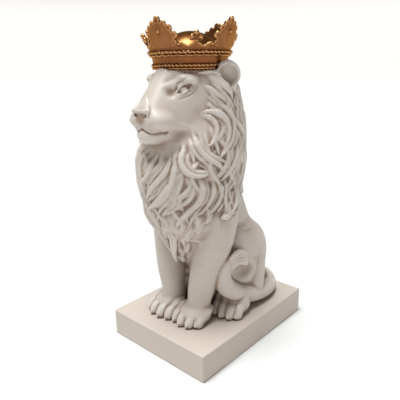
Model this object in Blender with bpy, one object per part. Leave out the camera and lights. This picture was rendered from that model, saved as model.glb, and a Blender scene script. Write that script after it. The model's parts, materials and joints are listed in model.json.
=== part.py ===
"""Seated lion figurine of cast resin on its plinth, with a gilt crown on its head.

The lion and its plinth are one casting, so they are one solid. The crown is a casting of its own that
sits in a shallow seat on top of the head. The lion is modelled as clay is: rounded masses are added
to a block of signed distances, creases are pressed into it, and its skin is taken off as a mesh.

Frame: origin at the centre of the plinth's underside, +Z up, and the lion faces -Y. Sizes are in
millimetres, and every mesh is scaled to metres when it is made.
"""

import itertools
import math
from collections import namedtuple

import bmesh
import bpy
import numpy as np
from mathutils import Euler, Vector

MM = 0.001

# Plinth
PLINTH_WIDTH = 140.0
PLINTH_DEPTH = 188.0
PLINTH_HEIGHT = 31.0
PLINTH_EDGE = 1.6

# Crown
CROWN_CENTRE_Y = -29.0
CROWN_SEAT_Z = 303.0

# Sculpting grid
CLAY_LOW = (-68.0, -112.0, 24.0)
CLAY_HIGH = (68.0, 94.0, 328.0)
CLAY_STEP = 1.6
CROWN_STEP = 1.0
FAR = 50.0
LION_TRIANGLES = 7350
CROWN_TRIANGLES = 1900
# Clearance round the crown, from the axis out: radius and height
SEAT_PROFILE = (
    (0, 302.7),
    (39.8, 302.7),
    (40.2, 309),
    (43.6, 315),
    (43.8, 321),
    (53, 336),
    (53, 360),
    (0, 360),
)

SIDES = (-1, 1)

Shape = namedtuple("Shape", "low high distance")


def smooth_min(first, second, blend):
    """The lesser of two distances, with the crease between them filled over the width of the blend."""
    if blend <= 0:
        return np.minimum(first, second)
    near = np.maximum(blend - np.abs(first - second), 0) / blend
    return np.minimum(first, second) - near * near * blend / 4


def ball(centre, radii, tilt=(0, 0, 0), frame=None):
    """An ellipsoid, turned by the angles of tilt, in degrees about X, Y and Z, or along a frame of axes."""
    turn = np.array(Euler([math.radians(angle) for angle in tilt]).to_matrix())
    if frame is not None:
        turn = np.array(frame).T
    centre = np.array(centre, float)
    radii = np.array(radii, float)
    reach = np.sqrt(((turn * radii) ** 2).sum(axis=1))

    def distance(x, y, z):
        offset = (x - centre[0], y - centre[1], z - centre[2])
        scaled = 0
        steep = 0
        for axis in range(3):
            along = sum(offset[i] * turn[i, axis] for i in range(3)) / radii[axis]
            scaled = scaled + along**2
            steep = steep + (along / radii[axis]) ** 2
        scaled = np.sqrt(scaled)
        return scaled * (scaled - 1) / np.sqrt(steep + 1e-9)

    return Shape(centre - reach, centre + reach, distance)


def bar(start, end, start_radius, end_radius):
    """A straight round bar with rounded ends that tapers from one radius to the other."""
    start = np.array(start, float)
    end = np.array(end, float)
    run = end - start
    length_squared = max(run @ run, 1e-9)
    radius = max(start_radius, end_radius)

    def distance(x, y, z):
        dx, dy, dz = x - start[0], y - start[1], z - start[2]
        along = np.clip((dx * run[0] + dy * run[1] + dz * run[2]) / length_squared, 0, 1)
        off = (dx - along * run[0]) ** 2 + (dy - along * run[1]) ** 2 + (dz - along * run[2]) ** 2
        return np.sqrt(off) - (start_radius + along * (end_radius - start_radius))

    return Shape(np.minimum(start, end) - radius, np.maximum(start, end) + radius, distance)


def smooth_path(points, count):
    """Points and values along a Catmull-Rom curve through the rows of points."""
    points = np.array(points, float)
    padded = np.vstack([2 * points[0] - points[1], points, 2 * points[-1] - points[-2]])
    rows = []
    for position in np.linspace(0, len(points) - 1, count):
        first = min(int(position), len(points) - 2)
        t = position - first
        a, b, c, d = padded[first : first + 4]
        rows.append(b + 0.5 * t * (c - a + t * (2 * a - 5 * b + 4 * c - d + t * (3 * (b - c) + d - a))))
    return np.array(rows)


def limb(points, count=12):
    """Bars in a row along a smooth path. Each row of points holds x, y, z and the radius there."""
    path = smooth_path(points, count)
    return [bar(a[:3], b[:3], a[3], b[3]) for a, b in zip(path, path[1:])]


def gem(planes, blend):
    """A form bounded by planes, with its edges rounded. A plane is a point on it and its outward normal."""
    planes = [(np.array(point, float), np.array(n, float) / np.linalg.norm(n)) for point, n in planes]

    def distance(x, y, z):
        result = -FAR
        for point, n in planes:
            plane = (x - point[0]) * n[0] + (y - point[1]) * n[1] + (z - point[2]) * n[2]
            result = -smooth_min(-plane, -result, blend)
        return result

    return Shape(np.array([-40, -104, 232]), np.array([40, -20, 312]), distance)


def mirrored(points, side):
    """The points with x multiplied by side, which is 1 for the lion's left and -1 for its right."""
    return [(side * point[0], *point[1:]) for point in points]


class Clay:
    """A block of signed distances on a grid, negative inside the clay."""

    def __init__(self, low, high, step):
        self.low = np.array(low, float)
        self.step = step
        self.axes = [np.arange(a, b + step / 2, step, np.float32) for a, b in zip(low, high)]
        self.field = np.full([len(axis) for axis in self.axes], FAR, np.float32)

    def window(self, low, high, margin):
        """The slices of the grid that cover the box, and the coordinates in them."""
        first = np.floor((np.array(low) - margin - self.low) / self.step).astype(int)
        last = np.ceil((np.array(high) + margin - self.low) / self.step).astype(int) + 1
        slices = tuple(
            slice(max(a, 0), max(min(b, n), 0)) for a, b, n in zip(first, last, self.field.shape)
        )
        x, y, z = (axis[s] for axis, s in zip(self.axes, slices))
        return slices, x[:, None, None], y[None, :, None], z[None, None, :]

    def joined(self, shapes, margin):
        """The distances to several shapes as one, over a window that covers them all."""
        low = np.min([shape.low for shape in shapes], axis=0)
        high = np.max([shape.high for shape in shapes], axis=0)
        whole, *_ = self.window(low, high, margin)
        result = np.full([s.stop - s.start for s in whole], FAR, np.float32)
        for shape in shapes:
            part, x, y, z = self.window(shape.low, shape.high, margin)
            local = tuple(slice(p.start - w.start, p.stop - w.start) for p, w in zip(part, whole))
            result[local] = np.minimum(result[local], shape.distance(x, y, z))
        return whole, result

    def add(self, shapes, blend=0.0):
        """Adds a shape, or several that make one form, and fills the crease round it."""
        shapes = shapes if isinstance(shapes, list) else [shapes]
        where, distances = self.joined(shapes, blend + 2 * self.step)
        self.field[where] = smooth_min(self.field[where], distances, blend)

    def cut(self, shapes, blend=0.0):
        """Takes a shape away, and rounds the edge of the cut."""
        shapes = shapes if isinstance(shapes, list) else [shapes]
        where, distances = self.joined(shapes, blend + 2 * self.step)
        self.field[where] = -smooth_min(-self.field[where], distances, blend)

    def sample(self, points):
        """The distances at any points, read between the samples of the grid."""
        place = (np.asarray(points) - self.low) / self.step
        place = np.clip(place, 0, np.array(self.field.shape) - 1.001)
        first = place.astype(int)
        t = place - first
        total = 0
        for corner in itertools.product((0, 1), repeat=3):
            weight = np.prod([t[..., i] if corner[i] else 1 - t[..., i] for i in range(3)], axis=0)
            index = tuple(first[..., i] + corner[i] for i in range(3))
            total = total + weight * self.field[index]
        return total

    def slope(self, points):
        """The directions that lead straight out of the clay at these points."""
        steps = np.eye(3) * self.step
        rise = np.stack([self.sample(points + s) - self.sample(points - s) for s in steps], axis=-1)
        return rise / np.maximum(np.linalg.norm(rise, axis=-1, keepdims=True), 1e-6)

    def made_simple(self):
        """Closes the clay at the block's sides, and fills samples where its skin would touch itself."""
        for axis in range(3):
            edges = np.moveaxis(self.field, axis, 0)
            edges[0] = edges[-1] = self.step
        inside = self.field < 0
        for _ in range(40):
            fill = np.zeros_like(inside)
            for first, second in itertools.combinations(range(3), 2):
                views = {}
                for a, b in itertools.product((0, 1), repeat=2):
                    slices = [slice(None)] * 3
                    slices[first] = slice(a, inside.shape[first] - 1 + a)
                    slices[second] = slice(b, inside.shape[second] - 1 + b)
                    views[a, b] = tuple(slices)
                one, two, three, four = (inside[views[k]] for k in ((0, 0), (1, 1), (0, 1), (1, 0)))
                fill[views[0, 1]] |= one & two & ~three & ~four
                fill[views[0, 0]] |= three & four & ~one & ~two
            corners = {}
            for corner in itertools.product((0, 1), repeat=3):
                slices = tuple(slice(c, n - 1 + c) for c, n in zip(corner, inside.shape))
                corners[corner] = slices
            count = sum(inside[s].astype(np.int8) for s in corners.values())
            for corner in list(corners)[:4]:
                other = tuple(1 - c for c in corner)
                one, two = inside[corners[corner]], inside[corners[other]]
                neighbour = (1 - corner[0], corner[1], corner[2])
                fill[corners[neighbour]] |= (count == 2) & one & two
                fill[corners[corner]] |= (count == 6) & ~one & ~two
            fill &= ~inside
            if not fill.any():
                break
            inside |= fill
            self.field[fill] = -0.05 * self.step
        return inside

    def skin(self):
        """Points and four-sided faces of the clay's largest surface, by surface nets."""
        inside = self.made_simple()
        shape = np.array(inside.shape)
        corners = list(itertools.product((0, 1), repeat=3))
        count = np.zeros(shape - 1, np.int8)
        for c in corners:
            count += inside[tuple(slice(a, n - 1 + a) for a, n in zip(c, shape))]
        cells = np.argwhere((count > 0) & (count < 8))
        number = np.full(shape - 1, -1, np.int32)
        number[tuple(cells.T)] = np.arange(len(cells))
        values = {c: self.field[tuple((cells + c).T)] for c in corners}
        total = np.zeros((len(cells), 3))
        crossings = np.zeros(len(cells))
        for one in corners:
            for axis in range(3):
                if one[axis]:
                    continue
                two = tuple(v + (i == axis) for i, v in enumerate(one))
                a, b = values[one], values[two]
                crossed = (a < 0) != (b < 0)
                t = np.where(crossed, a / np.where(crossed, a - b, 1), 0)
                for i in range(3):
                    total[:, i] += crossed * (one[i] + (t if i == axis else 0))
                crossings += crossed
        points = self.low + self.step * (cells + total / crossings[:, None])
        faces = []
        for axis in range(3):
            across, up = (axis + 1) % 3, (axis + 2) % 3
            low = [slice(1, n - 1) for n in shape]
            low[axis] = slice(0, shape[axis] - 1)
            high = list(low)
            high[axis] = slice(1, shape[axis])
            a, b = inside[tuple(low)], inside[tuple(high)]
            base = np.argwhere(a != b)
            leaving = a[tuple(base.T)]
            start = np.array([1, 1, 1])
            start[axis] = 0
            base = base + start
            ring = []
            for da, du in ((-1, -1), (0, -1), (0, 0), (-1, 0)):
                cell = base.copy()
                cell[:, across] += da
                cell[:, up] += du
                ring.append(number[tuple(cell.T)])
            ring = np.stack(ring, axis=1)
            faces.append(np.where(leaving[:, None], ring, ring[:, ::-1]))
        faces = np.concatenate(faces)
        return largest_surface(points, faces)


def largest_surface(points, faces):
    """Only the connected surface with the most points, so no crumbs or sealed hollows are left."""
    label = np.arange(len(points))
    while True:
        lowest = label[faces].min(axis=1)
        new = label.copy()
        for corner in range(4):
            np.minimum.at(new, faces[:, corner], lowest)
        new = new[new]
        if (new == label).all():
            break
        label = new
    kept = label == np.bincount(label).argmax()
    number = np.cumsum(kept) - 1
    return points[kept], number[faces[kept[faces[:, 0]]]]


def mesh_object(name, points, faces):
    """A new object that holds this mesh, given in millimetres."""
    mesh = bpy.data.meshes.new(name)
    mesh.from_pydata((np.asarray(points) * MM).tolist(), [], np.asarray(faces).tolist())
    mesh.update()
    obj = bpy.data.objects.new(name, mesh)
    bpy.context.scene.collection.objects.link(obj)
    return obj


def loft(rows):
    """A form stacked from ovals. Each row holds z, centre y, half width, front depth and back depth."""
    rows = np.array(sorted(rows), float)
    low = (-rows[:, 2].max(), (rows[:, 1] - rows[:, 3]).min(), rows[0, 0])
    high = (rows[:, 2].max(), (rows[:, 1] + rows[:, 4]).max(), rows[-1, 0])

    def distance(x, y, z):
        centre, half, front, back = (np.interp(z, rows[:, 0], rows[:, i]) for i in (1, 2, 3, 4))
        dy = y - centre
        depth = np.where(dy < 0, front, back)
        flat = np.sqrt((x / half) ** 2 + (dy / depth) ** 2)
        steep = np.sqrt((x / half**2) ** 2 + (dy / depth**2) ** 2) + 1e-6
        side = np.maximum(flat * (flat - 1) / steep, -np.minimum(half, depth))
        ends = np.maximum(rows[0, 0] - z, z - rows[-1, 0])
        return np.maximum(side, ends)

    return Shape(np.array(low), np.array(high), distance)


FORE_TOES = {
    1: ((4.0, -69.0), (14.2, -71.5), (24.0, -69.5), (31.5, -63.0)),
    -1: ((-6.5, -71.0), (-17.0, -73.5), (-28.0, -72.5), (-37.5, -67.0)),
}
HIND_TOES = ((28.0, -27.0), (37.0, -28.0), (46.5, -25.5), (54.0, -18.5))


def add_trunk(clay):
    """Back, chest, belly and rump."""
    back = [(0, -8, 205, 34), (0, -6, 178, 36), (0, 7, 142, 37.5), (0, 22, 108, 38.5), (0, 38, 70, 39)]
    clay.add(limb(back))
    clay.add(ball((0, -28, 165), (42, 44, 60)), 10)
    clay.add(limb([(0, -22, 130, 30), (0, -2, 90, 30), (0, 14, 55, 30)]), 12)
    clay.add(ball((0, 44, 52), (42, 38, 30)), 12)
    clay.add(ball((0, -14, 46), (20, 19, 22)), 6)


def add_haunch(clay, side):
    """One thigh, its knee folded up beside the belly, and the heel behind it."""
    clay.add(ball((side * 31, 23, 88), (20.5, 39, 45), (-16, 0, 0)), 8)
    clay.add(ball((side * 33, 3, 98), (18, 27, 36), (12, 0, 0)), 5)
    crease = [(38, -24, 114, 1.5), (43, -12, 129, 2.2), (44, 3, 137, 2.2), (42, 18, 139, 1.2)]
    clay.cut(limb(mirrored(crease, side)), 4)
    hock = [(43, 36, 94, 8), (46, 33, 76, 8.5), (45, 28, 56, 11)]
    clay.add(limb(mirrored(hock, side)), 5)


def add_foreleg(clay, side):
    """Shoulder and one straight foreleg, down to the wrist."""
    shoulder = [(31, -26, 182, 17), (33, -27, 160, 22.5), (32, -31, 132, 22), (29.5, -36, 106, 19)]
    lower = [(25, -41, 82, 16.3), (21, -43, 62, 13.8), (19.5, -43.5, 50, 13), (19.5, -44, 42, 13.5)]
    clay.add(limb(mirrored(shoulder + lower, side), 18), 6)


def add_paw(clay, heel, toes, height, width):
    """A paw from its heel to four toes, each with a knuckle and a claw. Toe points lie on the plinth."""
    heel = np.array(heel, float)
    toes = np.array(toes, float)
    forward = toes.mean(axis=0) - heel
    forward /= np.linalg.norm(forward)
    turn = math.degrees(math.atan2(forward[0], -forward[1]))
    base = (*(heel + forward * 3), PLINTH_HEIGHT + height * 0.5)
    clay.add(ball(base, (width, 17, height * 0.6), (0, 0, turn)), 6)
    for toe in toes:
        root = toe - forward * 27 + (heel - toe + forward * 27) * 0.15
        path = [
            (*root, PLINTH_HEIGHT + height - 6.2, 5.6),
            (*(toe - forward * 19), PLINTH_HEIGHT + height - 6.2, 6.1),
            (*(toe - forward * 13), PLINTH_HEIGHT + height * 0.53, 5.8),
            (*(toe - forward * 8), PLINTH_HEIGHT + height * 0.42, 5.8),
            (*(toe - forward * 5.2), PLINTH_HEIGHT + 5.2, 5.5),
        ]
        clay.add(limb(path, 12), 1.4)
        top, tip = toe - forward * 2.2, toe + forward * 0.3
        clay.add(bar((*top, PLINTH_HEIGHT + 7.4), (*tip, PLINTH_HEIGHT + 4.2), 2.4, 1.8), 0.6)


def add_tail(clay):
    """The tail comes round the left side, rises behind the hind paw and curls back over the thigh."""
    clay.cut(ball((54, -3, 82), (12, 20, 13)), 4)
    clay.cut(limb([(54, 27, 97, 0.8), (54.5, 24, 86, 2.2), (55, 20, 76, 3.0), (55, 16, 68, 2.2)], 10), 2)
    tail = [
        (12, 74, 44, 13),
        (28, 74, 42, 12),
        (41, 62, 41, 11),
        (46, 44, 43, 11),
        (46, 24, 46, 11),
        (45, 6, 52, 10.4),
        (44, -11, 61, 10.2),
        (42.5, -25, 73, 10.5),
        (42.5, -30.5, 87, 9.8),
        (44.5, -29, 100, 8.8),
        (47, -20, 107, 7.0),
        (49, -10, 105, 5.0),
    ]
    clay.add(limb(tail, 30), 2)
    for number in range(4):
        path = [
            (49, -31 + number, 103 - number * 3.6, 1.5),
            (52.6, -25, 110.5 - number * 3.9, 2.6),
            (54, -15, 113.5 - number * 4.1, 2.8),
            (54.6, -5, 108.5 - number * 3.9, 2.6),
            (52, 2.5, 101 - number * 3.0, 1.0),
        ]
        clay.add(limb(path, 12), 0.5)


# The mane under its locks: height of each oval, its centre y, half width, front and back depth
MANE_ROWS = (
    (303, -26, 30, 30, 30),
    (296, -24, 37, 26, 40),
    (284, -24, 42.5, 28, 45),
    (262, -26, 47, 36, 51.5),
    (236, -28, 50, 50, 54.5),
    (212, -29, 51.5, 57.5, 55.5),
    (190, -30, 49, 57, 50),
    (172, -30, 44, 52, 38),
    (158, -32, 45, 49, 26),
    (146, -34, 41, 43, 20),
    (134, -35, 33, 34, 14),
)
MANE_AXIS_Y = -29.0
# The lowest height that lock tips reach, by angle round the mane from the front
MANE_EDGE = ((0, 96), (12, 106), (30, 126), (50, 142), (75, 154), (111, 162), (150, 174), (180, 178))
# Angle round the mane and height of points down the edge of the face
HAIRLINE = ((70, 303), (66, 295), (62, 285), (60, 272), (58, 260), (53, 251), (44, 244), (30, 238), (0, 232))
# Rows of small locks, from the top row down: first and last angle, how many on each side, root height
# at the front and at the back, length, half width, thickness, phase of the swing in turns
MANE_TIERS = (
    (80, 176, 5, 298, 294, 46, 8.0, 6.4, 0.10),
    (68, 172, 5, 275, 278, 54, 9.0, 6.8, 0.40),
    (54, 176, 6, 252, 256, 58, 9.2, 7.0, 0.05),
    (6, 172, 7, 230, 234, 60, 9.2, 7.2, 0.50),
    (3, 156, 6, 207, 212, 56, 8.8, 7.0, 0.10),
    (5, 110, 5, 183, 188, 50, 8.0, 6.6, 0.60),
    (3, 62, 4, 156, 162, 44, 7.0, 6.2, 0.20),
    (2, 34, 2, 130, 140, 36, 6.4, 5.8, 0.70),
)
# Main locks on each side, lowest first: angle and height of the root, length, half width, and the
# leans off straight down that the lock takes on its way, towards the back
SIDE_LOCKS = (
    (94, 192, 36, 6.0, (35, -30, -50)),
    (79, 203, 40, 6.0, (20, -5, 5)),
    (67, 201, 44, 6.5, (45, 10, -35, -60)),
    (65, 203, 46, 6.5, (5, -10, -35, -70)),
    (117, 234, 70, 8.5, (40, 15, -20, -20)),
    (140, 240, 74, 9.0, (10, -25, 15, 25)),
    (162, 238, 70, 9.0, (-10, 20, -15, -10)),
    (101, 238, 50, 7.5, (10, -30, -50, -40)),
    (40, 209, 72, 8.5, (60, 5, -40, -45, -20)),
    (91, 262, 46, 7.5, (42, 52, 20)),
    (32, 239, 54, 7.5, (20, -20, 45, 85, 120)),
    (44, 249, 52, 7.5, (15, 25, 60, 30)),
    (69, 276, 72, 8.0, (60, 40, -15, -45, -45)),
    (112, 272, 60, 8.5, (45, 25, -15)),
    (138, 276, 64, 8.5, (25, -15, -25)),
    (163, 272, 64, 8.5, (10, 20, -10)),
    (54, 263, 58, 8.0, (105, 65, 10, -25, -42)),
)
# Main locks of the front, from the lion's right to its left, which lean towards its left
FRONT_LOCKS = (
    (-30, 176, 42, 7.0, (15, 45, 30)),
    (-40, 208, 66, 8.0, (0, 35, 45, 20)),
    (-24, 206, 64, 8.0, (-10, 30, 35, 10)),
    (31, 214, 76, 8.0, (-22, -40, -52, -21)),
    (-46, 234, 64, 8.0, (-20, 20, 45)),
    (-30, 232, 66, 8.0, (-30, -5, 40, 30)),
    (25, 234, 78, 8.0, (12, -12, -42, -60)),
    (19, 230, 66, 7.5, (17, -39, -46, -42)),
    (11, 230, 66, 7.5, (-35, -14, -51, -29, 7)),
    (-3, 232, 66, 7.5, (-50, -19, 30, -10, 16)),
    (-17, 230, 48, 7.0, (-45, 10, 50)),
)
# Hollows between the main locks: angle and height of the upper end, length, lean and radius
HOLLOWS = (
    (75, 254, 24, -10, 2.8),
    (54, 229, 26, 45, 3.2),
    (32, 220, 26, 62, 2.8),
    (10, 204, 26, -50, 2.8),
    (60, 196, 26, -25, 2.6),
    (88, 220, 26, -30, 2.6),
)
# How round a lock is in section, from 1 for a sharp roof to 2 for an oval
ROOF = 1.3
# The lock that crosses from the forehead over the root of the ear: x, y, z
EAR_LOCK = ((29, -48, 300), (35, -40, 300), (41, -30, 296), (43, -20, 288), (43, -9, 278), (41, -1, 268))


def mane_point(clay, angle, height):
    """Points on the clay at these angles round the mane, in degrees from the front, and heights."""
    turn = np.radians(angle)
    out = np.stack([np.sin(turn), -np.cos(turn), np.zeros_like(turn)], axis=-1)
    base = np.stack([np.zeros_like(turn), np.full_like(turn, MANE_AXIS_Y), height], axis=-1)
    reach = np.arange(90, 8, -0.5)
    along = base[:, None] + out[:, None] * reach[:, None]
    hit = clay.sample(along) < 0
    first = np.where(hit.any(axis=1), hit.argmax(axis=1), len(reach) - 1)
    return base + out * reach[first][:, None]


def comb(guide, angles, heights, lengths, lean, lift, count=12):
    """Paths over the mane from their roots down, which stand off it by lift, from the first to the last.

    lean(t, angles, heights, reach) gives how far the paths lean off straight down, in degrees, as t
    goes from 0 at the roots to 1 at the tips. Gives the points and the normals of every path.
    """
    angles, heights = np.array(angles, float), np.array(heights, float)
    rows = []
    normals = []
    reach = None
    for t in np.linspace(0, 1, count):
        points = mane_point(guide, angles, heights)
        outward = guide.slope(points)
        flat = points[:, :2] - (0, MANE_AXIS_Y)
        found = np.hypot(*flat.T)
        reach = found if reach is None else np.clip(found, reach - 2.2, reach + 2.2)
        points[:, :2] = (0, MANE_AXIS_Y) + flat * (reach / found)[:, None]
        rows.append(points + outward * (lift[0] + (lift[1] - lift[0]) * t**1.2))
        normals.append(outward)
        turn = np.radians(lean(t, angles, heights, reach))
        step = lengths / (count - 1)
        angles = angles + np.degrees(step * np.sin(turn) / reach)
        heights = heights - step * np.cos(turn)
    return list(zip(np.stack(rows, axis=1), np.stack(normals, axis=1)))


def tier_lean(side, swing, phases):
    """The lean of small locks: back from the face, then down in an S, and to the front low down."""
    hair = np.array(HAIRLINE, float)[::-1]

    def lean(t, angles, heights, reach):
        turned = side * angles
        clear = (turned - np.interp(heights, hair[:, 1], hair[:, 0])) * np.pi / 180 * reach
        back = 78 * np.exp(-np.maximum(clear, 0) / 20) * np.clip((heights - 236) / 24, 0, 1)
        front = -24 * np.clip(turned / 60, 0, 1) * np.clip((215 - heights) / 30, 0, 1)
        front = front * np.clip((130 - turned) / 40, 0, 1)
        return side * (back + front + swing * np.sin(2 * np.pi * (phases + 0.95 * t)))

    return lean


def main_lean(rows, side):
    """The lean of main locks, which take the leans of their rows in turn."""

    def lean(t, *_):
        return side * np.array([np.interp(t, np.linspace(0, 1, len(row[4])), row[4]) for row in rows])

    return lean


def lock(points, normals, width, height, root=0.25, roll=0.0):
    """A pointed lock of hair swept along the points, with a ridge along its middle.

    Its root has this share of its width, and it is rolled by this many degrees, so that locks overlap.
    """
    count = len(points)
    run = np.gradient(points, axis=0)
    run /= np.linalg.norm(run, axis=1, keepdims=True)
    across = np.cross(run, normals)
    across /= np.linalg.norm(across, axis=1, keepdims=True)
    out = np.cross(across, run)
    turn = math.radians(roll)
    tipped = out * math.cos(turn) - across * math.sin(turn)
    across = across * math.cos(turn) + out * math.sin(turn)
    t = np.linspace(0, 1, count)
    swell = np.minimum(1, root + (1 - root) * t / 0.3) * np.clip(1 - t**2.6, 0, 1) ** 0.75 + 0.05
    widths, heights = width * swell, height * (0.25 + 0.75 * swell)

    def segment(i):
        start, step = points[i], points[i + 1] - points[i]
        squared = max(step @ step, 1e-9)
        reach = max(widths[i], widths[i + 1], heights[i], heights[i + 1])

        def distance(x, y, z):
            dx, dy, dz = x - start[0], y - start[1], z - start[2]
            s = np.clip((dx * step[0] + dy * step[1] + dz * step[2]) / squared, 0, 1)
            dx, dy, dz = dx - s * step[0], dy - s * step[1], dz - s * step[2]

            def along(vectors):
                a, b = vectors[i], vectors[i + 1] - vectors[i]
                return dx * (a[0] + s * b[0]) + dy * (a[1] + s * b[1]) + dz * (a[2] + s * b[2])

            wide = widths[i] + s * (widths[i + 1] - widths[i])
            tall = heights[i] + s * (heights[i + 1] - heights[i])
            least = np.minimum(wide, tall)
            place = along(across) / wide
            rise, ahead = along(tipped) / tall, along(run) / least
            ridged = (np.abs(place) ** ROOF + np.abs(rise) ** ROOF) ** (1 / ROOF)
            return (np.hypot(ridged, ahead) - 1) * least

        low, high = np.minimum(start, points[i + 1]) - reach, np.maximum(start, points[i + 1]) + reach
        return Shape(low, high, distance)

    return [segment(i) for i in range(count - 1)]


def mane_locks(guide):
    """Every lock of the mane as shapes, lowest row first."""
    rng = np.random.default_rng(11)
    edge = np.array(MANE_EDGE, float)
    locks = []
    for first, last, number, front, back, length, width, thick, phase in MANE_TIERS[::-1]:
        for side in SIDES:
            part = (np.arange(number) + 0.5 + rng.uniform(-0.22, 0.22, number)) / number
            angles = first + (last - first) * part
            heights = front + (back - front) * angles / 180 + rng.uniform(-6, 6, number)
            phases = phase + rng.uniform(-0.1, 0.1, number) + np.arange(number) * 0.07
            room = heights - np.interp(angles, edge[:, 0], edge[:, 1])
            lengths = np.clip(room + 5, 16, length * rng.uniform(0.85, 1.2, number))
            paths = comb(guide, side * angles, heights, lengths, tier_lean(side, 46, phases), (-2.4, 1.6))
            for points, normals in paths:
                size = width * rng.uniform(0.85, 1.2)
                roll = side * rng.uniform(-26, 10)
                locks.append(lock(points, normals, size, thick, 0.2, roll))
    for side in SIDES:
        locks += main_locks(guide, SIDE_LOCKS, side, rng)
    locks += main_locks(guide, FRONT_LOCKS, 1, rng)
    hair = np.array(HAIRLINE, float)
    for side in SIDES:
        place = (np.arange(13) + rng.uniform(-0.25, 0.25, 13) + 0.3) / 13 * (len(hair) - 1.3)
        angles, heights = (np.interp(place, np.arange(len(hair)), hair[:, i]) for i in (0, 1))
        lengths = rng.uniform(24, 40, len(place))
        starts = side * (angles - rng.uniform(1, 6, len(place)))
        for points, normals in comb(guide, starts, heights, lengths, tier_lean(side, 14, 0.6), (-1.8, 3.0)):
            locks.append(lock(points, normals, rng.uniform(4.6, 6.0), 5.4, 0.1, side * rng.uniform(-20, 20)))
        points = smooth_path(mirrored(EAR_LOCK, side), 12)
        locks.append(lock(points, guide.slope(points), 5.2, 5.4, 0.15))
    return locks


def main_locks(guide, rows, side, rng):
    """The main locks of these rows, which lie over the rows of small ones."""
    angles, heights, lengths, widths = (np.array([row[i] for row in rows], float) for i in range(4))
    paths = comb(guide, side * angles, heights, lengths, main_lean(rows, side), (-1.4, 2.6), 14)
    return [lock(*path, width, 8.0, 0.16, side * rng.uniform(-18, 4)) for path, width in zip(paths, widths)]


def hollows(guide):
    """Bars that are cut from the mane between its main locks."""
    bars = []
    for side in SIDES:
        angles, heights, lengths, leans, radii = (np.array(column, float) for column in zip(*HOLLOWS))
        for (points, _), radius in zip(
            comb(guide, side * angles, heights, lengths, lambda *_: side * leans, (0, 0), 6), radii
        ):
            bars += [bar(a, b, radius, radius) for a, b in zip(points, points[1:])]
    return bars


def skin_point(clay, point, out, lift=0.0):
    """The place where a line through the point along out meets the clay, raised off it by lift."""
    line = np.array(point) + np.array(out) * np.arange(12, -40, -0.4)[:, None]
    found = line[(clay.sample(line) < 0).argmax()]
    return found + clay.slope(found[None])[0] * lift


def skin_line(clay, points, out, count=12):
    """A bar laid along the clay. A row of points holds x, y, z, how far it stands off, and its radius."""
    path = [(*skin_point(clay, p[:3], out, p[3]), p[4]) for p in smooth_path(points, count)]
    return [bar(a[:3], b[:3], a[3], b[3]) for a, b in zip(path, path[1:])]


def face_line(clay, side, rows, count=12):
    """A bar laid along the front of the face. Each row holds x, z, how far it stands off, and its radius."""
    points = [(side * x, -98, z, lift, radius) for x, z, lift, radius in rows]
    return skin_line(clay, points, (0, -1, 0), count)


# The planes of the face: a point of each and its outward normal, for the lion's left side
FACE_PLANES = (
    ((0, -98.5, 268), (0, -0.783, 0.622)),
    ((24, -64.5, 285.5), (0.66, -0.63, 0.40)),
    ((34, -57, 279), (0.888, -0.457, 0.044)),
    ((36, -49, 294), (0.693, -0.489, 0.530)),
    ((0, -100, 256), (0, -1, 0)),
    ((0, -86, 234), (0, -0.25, -0.97)),
    ((25, -70, 240), (0.6, -0.3, -0.74)),
    ((0, -22, 290), (0, 1, 0)),
)
# The planes of the broad bridge and muzzle, in the same way
MUZZLE_PLANES = (
    ((0, -98.5, 268), (0, -0.783, 0.622)),
    ((11.5, -98, 268), (0.871, -0.306, 0.384)),
    ((0, -100, 256), (0, -1, 0)),
    ((0, -86, 251), (0, -0.25, -0.97)),
    ((0, -56, 280), (0, 1, 0)),
)
# The nose, and the recess under its rim
NOSE_PLANES = (
    ((0, -99.4, 268.2), (0, -0.783, 0.622)),
    ((0, -100.6, 262), (0, -1, 0)),
    ((12.9, -99, 267.4), (0.76, 0.05, -0.64)),
    ((12.9, -99, 267.4), (0.72, 0.62, 0.3)),
    ((0, -88, 262), (0, 1, 0)),
)
RECESS_PLANES = (
    ((0, -98, 266.3), (0, 0.3, 0.95)),
    ((11.4, -99, 267), (0.761, 0, -0.648)),
    ((0, -98.8, 262), (0, 1, 0)),
)


def both_sides(planes):
    """The planes with their mirror images."""
    return [(mirrored([point], side)[0], mirrored([n], side)[0]) for point, n in planes for side in SIDES]


def add_head(clay):
    """Skull, and the face with its flat bridge, sloping sides, muzzle and chin."""
    clay.add(ball((0, -34, 276), (38, 34, 38)), 6)
    clay.add(gem(both_sides(FACE_PLANES), 7), 4)
    clay.add(gem(both_sides(MUZZLE_PLANES), 7), 7)
    for side in SIDES:
        clay.add(ball((side * 11.8, -84, 257), (12, 13.4, 8.6), (-8, 0, side * 22)), 6)
        clay.add(ball((side * 25, -60, 295), (9, 5, 3.6), (0, side * 12, side * 34)), 6)
        clay.cut(bar((side * 17.6, -75.2, 284), (side * 14.5, -76.6, 296), 3.4, 3.0), 6)
    clay.add(ball((0, -85, 243), (12, 12.8, 8.5), (8, 0, 0)), 4)


def add_face_details(clay):
    """Nose, mouth and eyes."""
    clay.add(gem(both_sides(NOSE_PLANES), 1.5), 1.5)
    clay.cut(gem(both_sides(RECESS_PLANES), 0.5), 0.5)
    for side in SIDES:
        lips = [(0, 250, 0.2, 1.7), (6, 247.4, 0.1, 1.7), (12, 246, 0, 1.7), (17, 246, 0, 1.8)]
        clay.cut(face_line(clay, side, [*lips, (20, 246.4, -0.2, 2.0)]), 1)
        add_eye(clay, side)


# An eye: its centre, and the directions along it, across it and out of it, for the lion's left side
EYE = np.array((24.0, -64.2, 285.8))
EYE_FRAME = np.array(((0.569, 0.772, 0.285), (-0.488, 0.040, 0.868), (0.660, -0.630, 0.400)))
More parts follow.
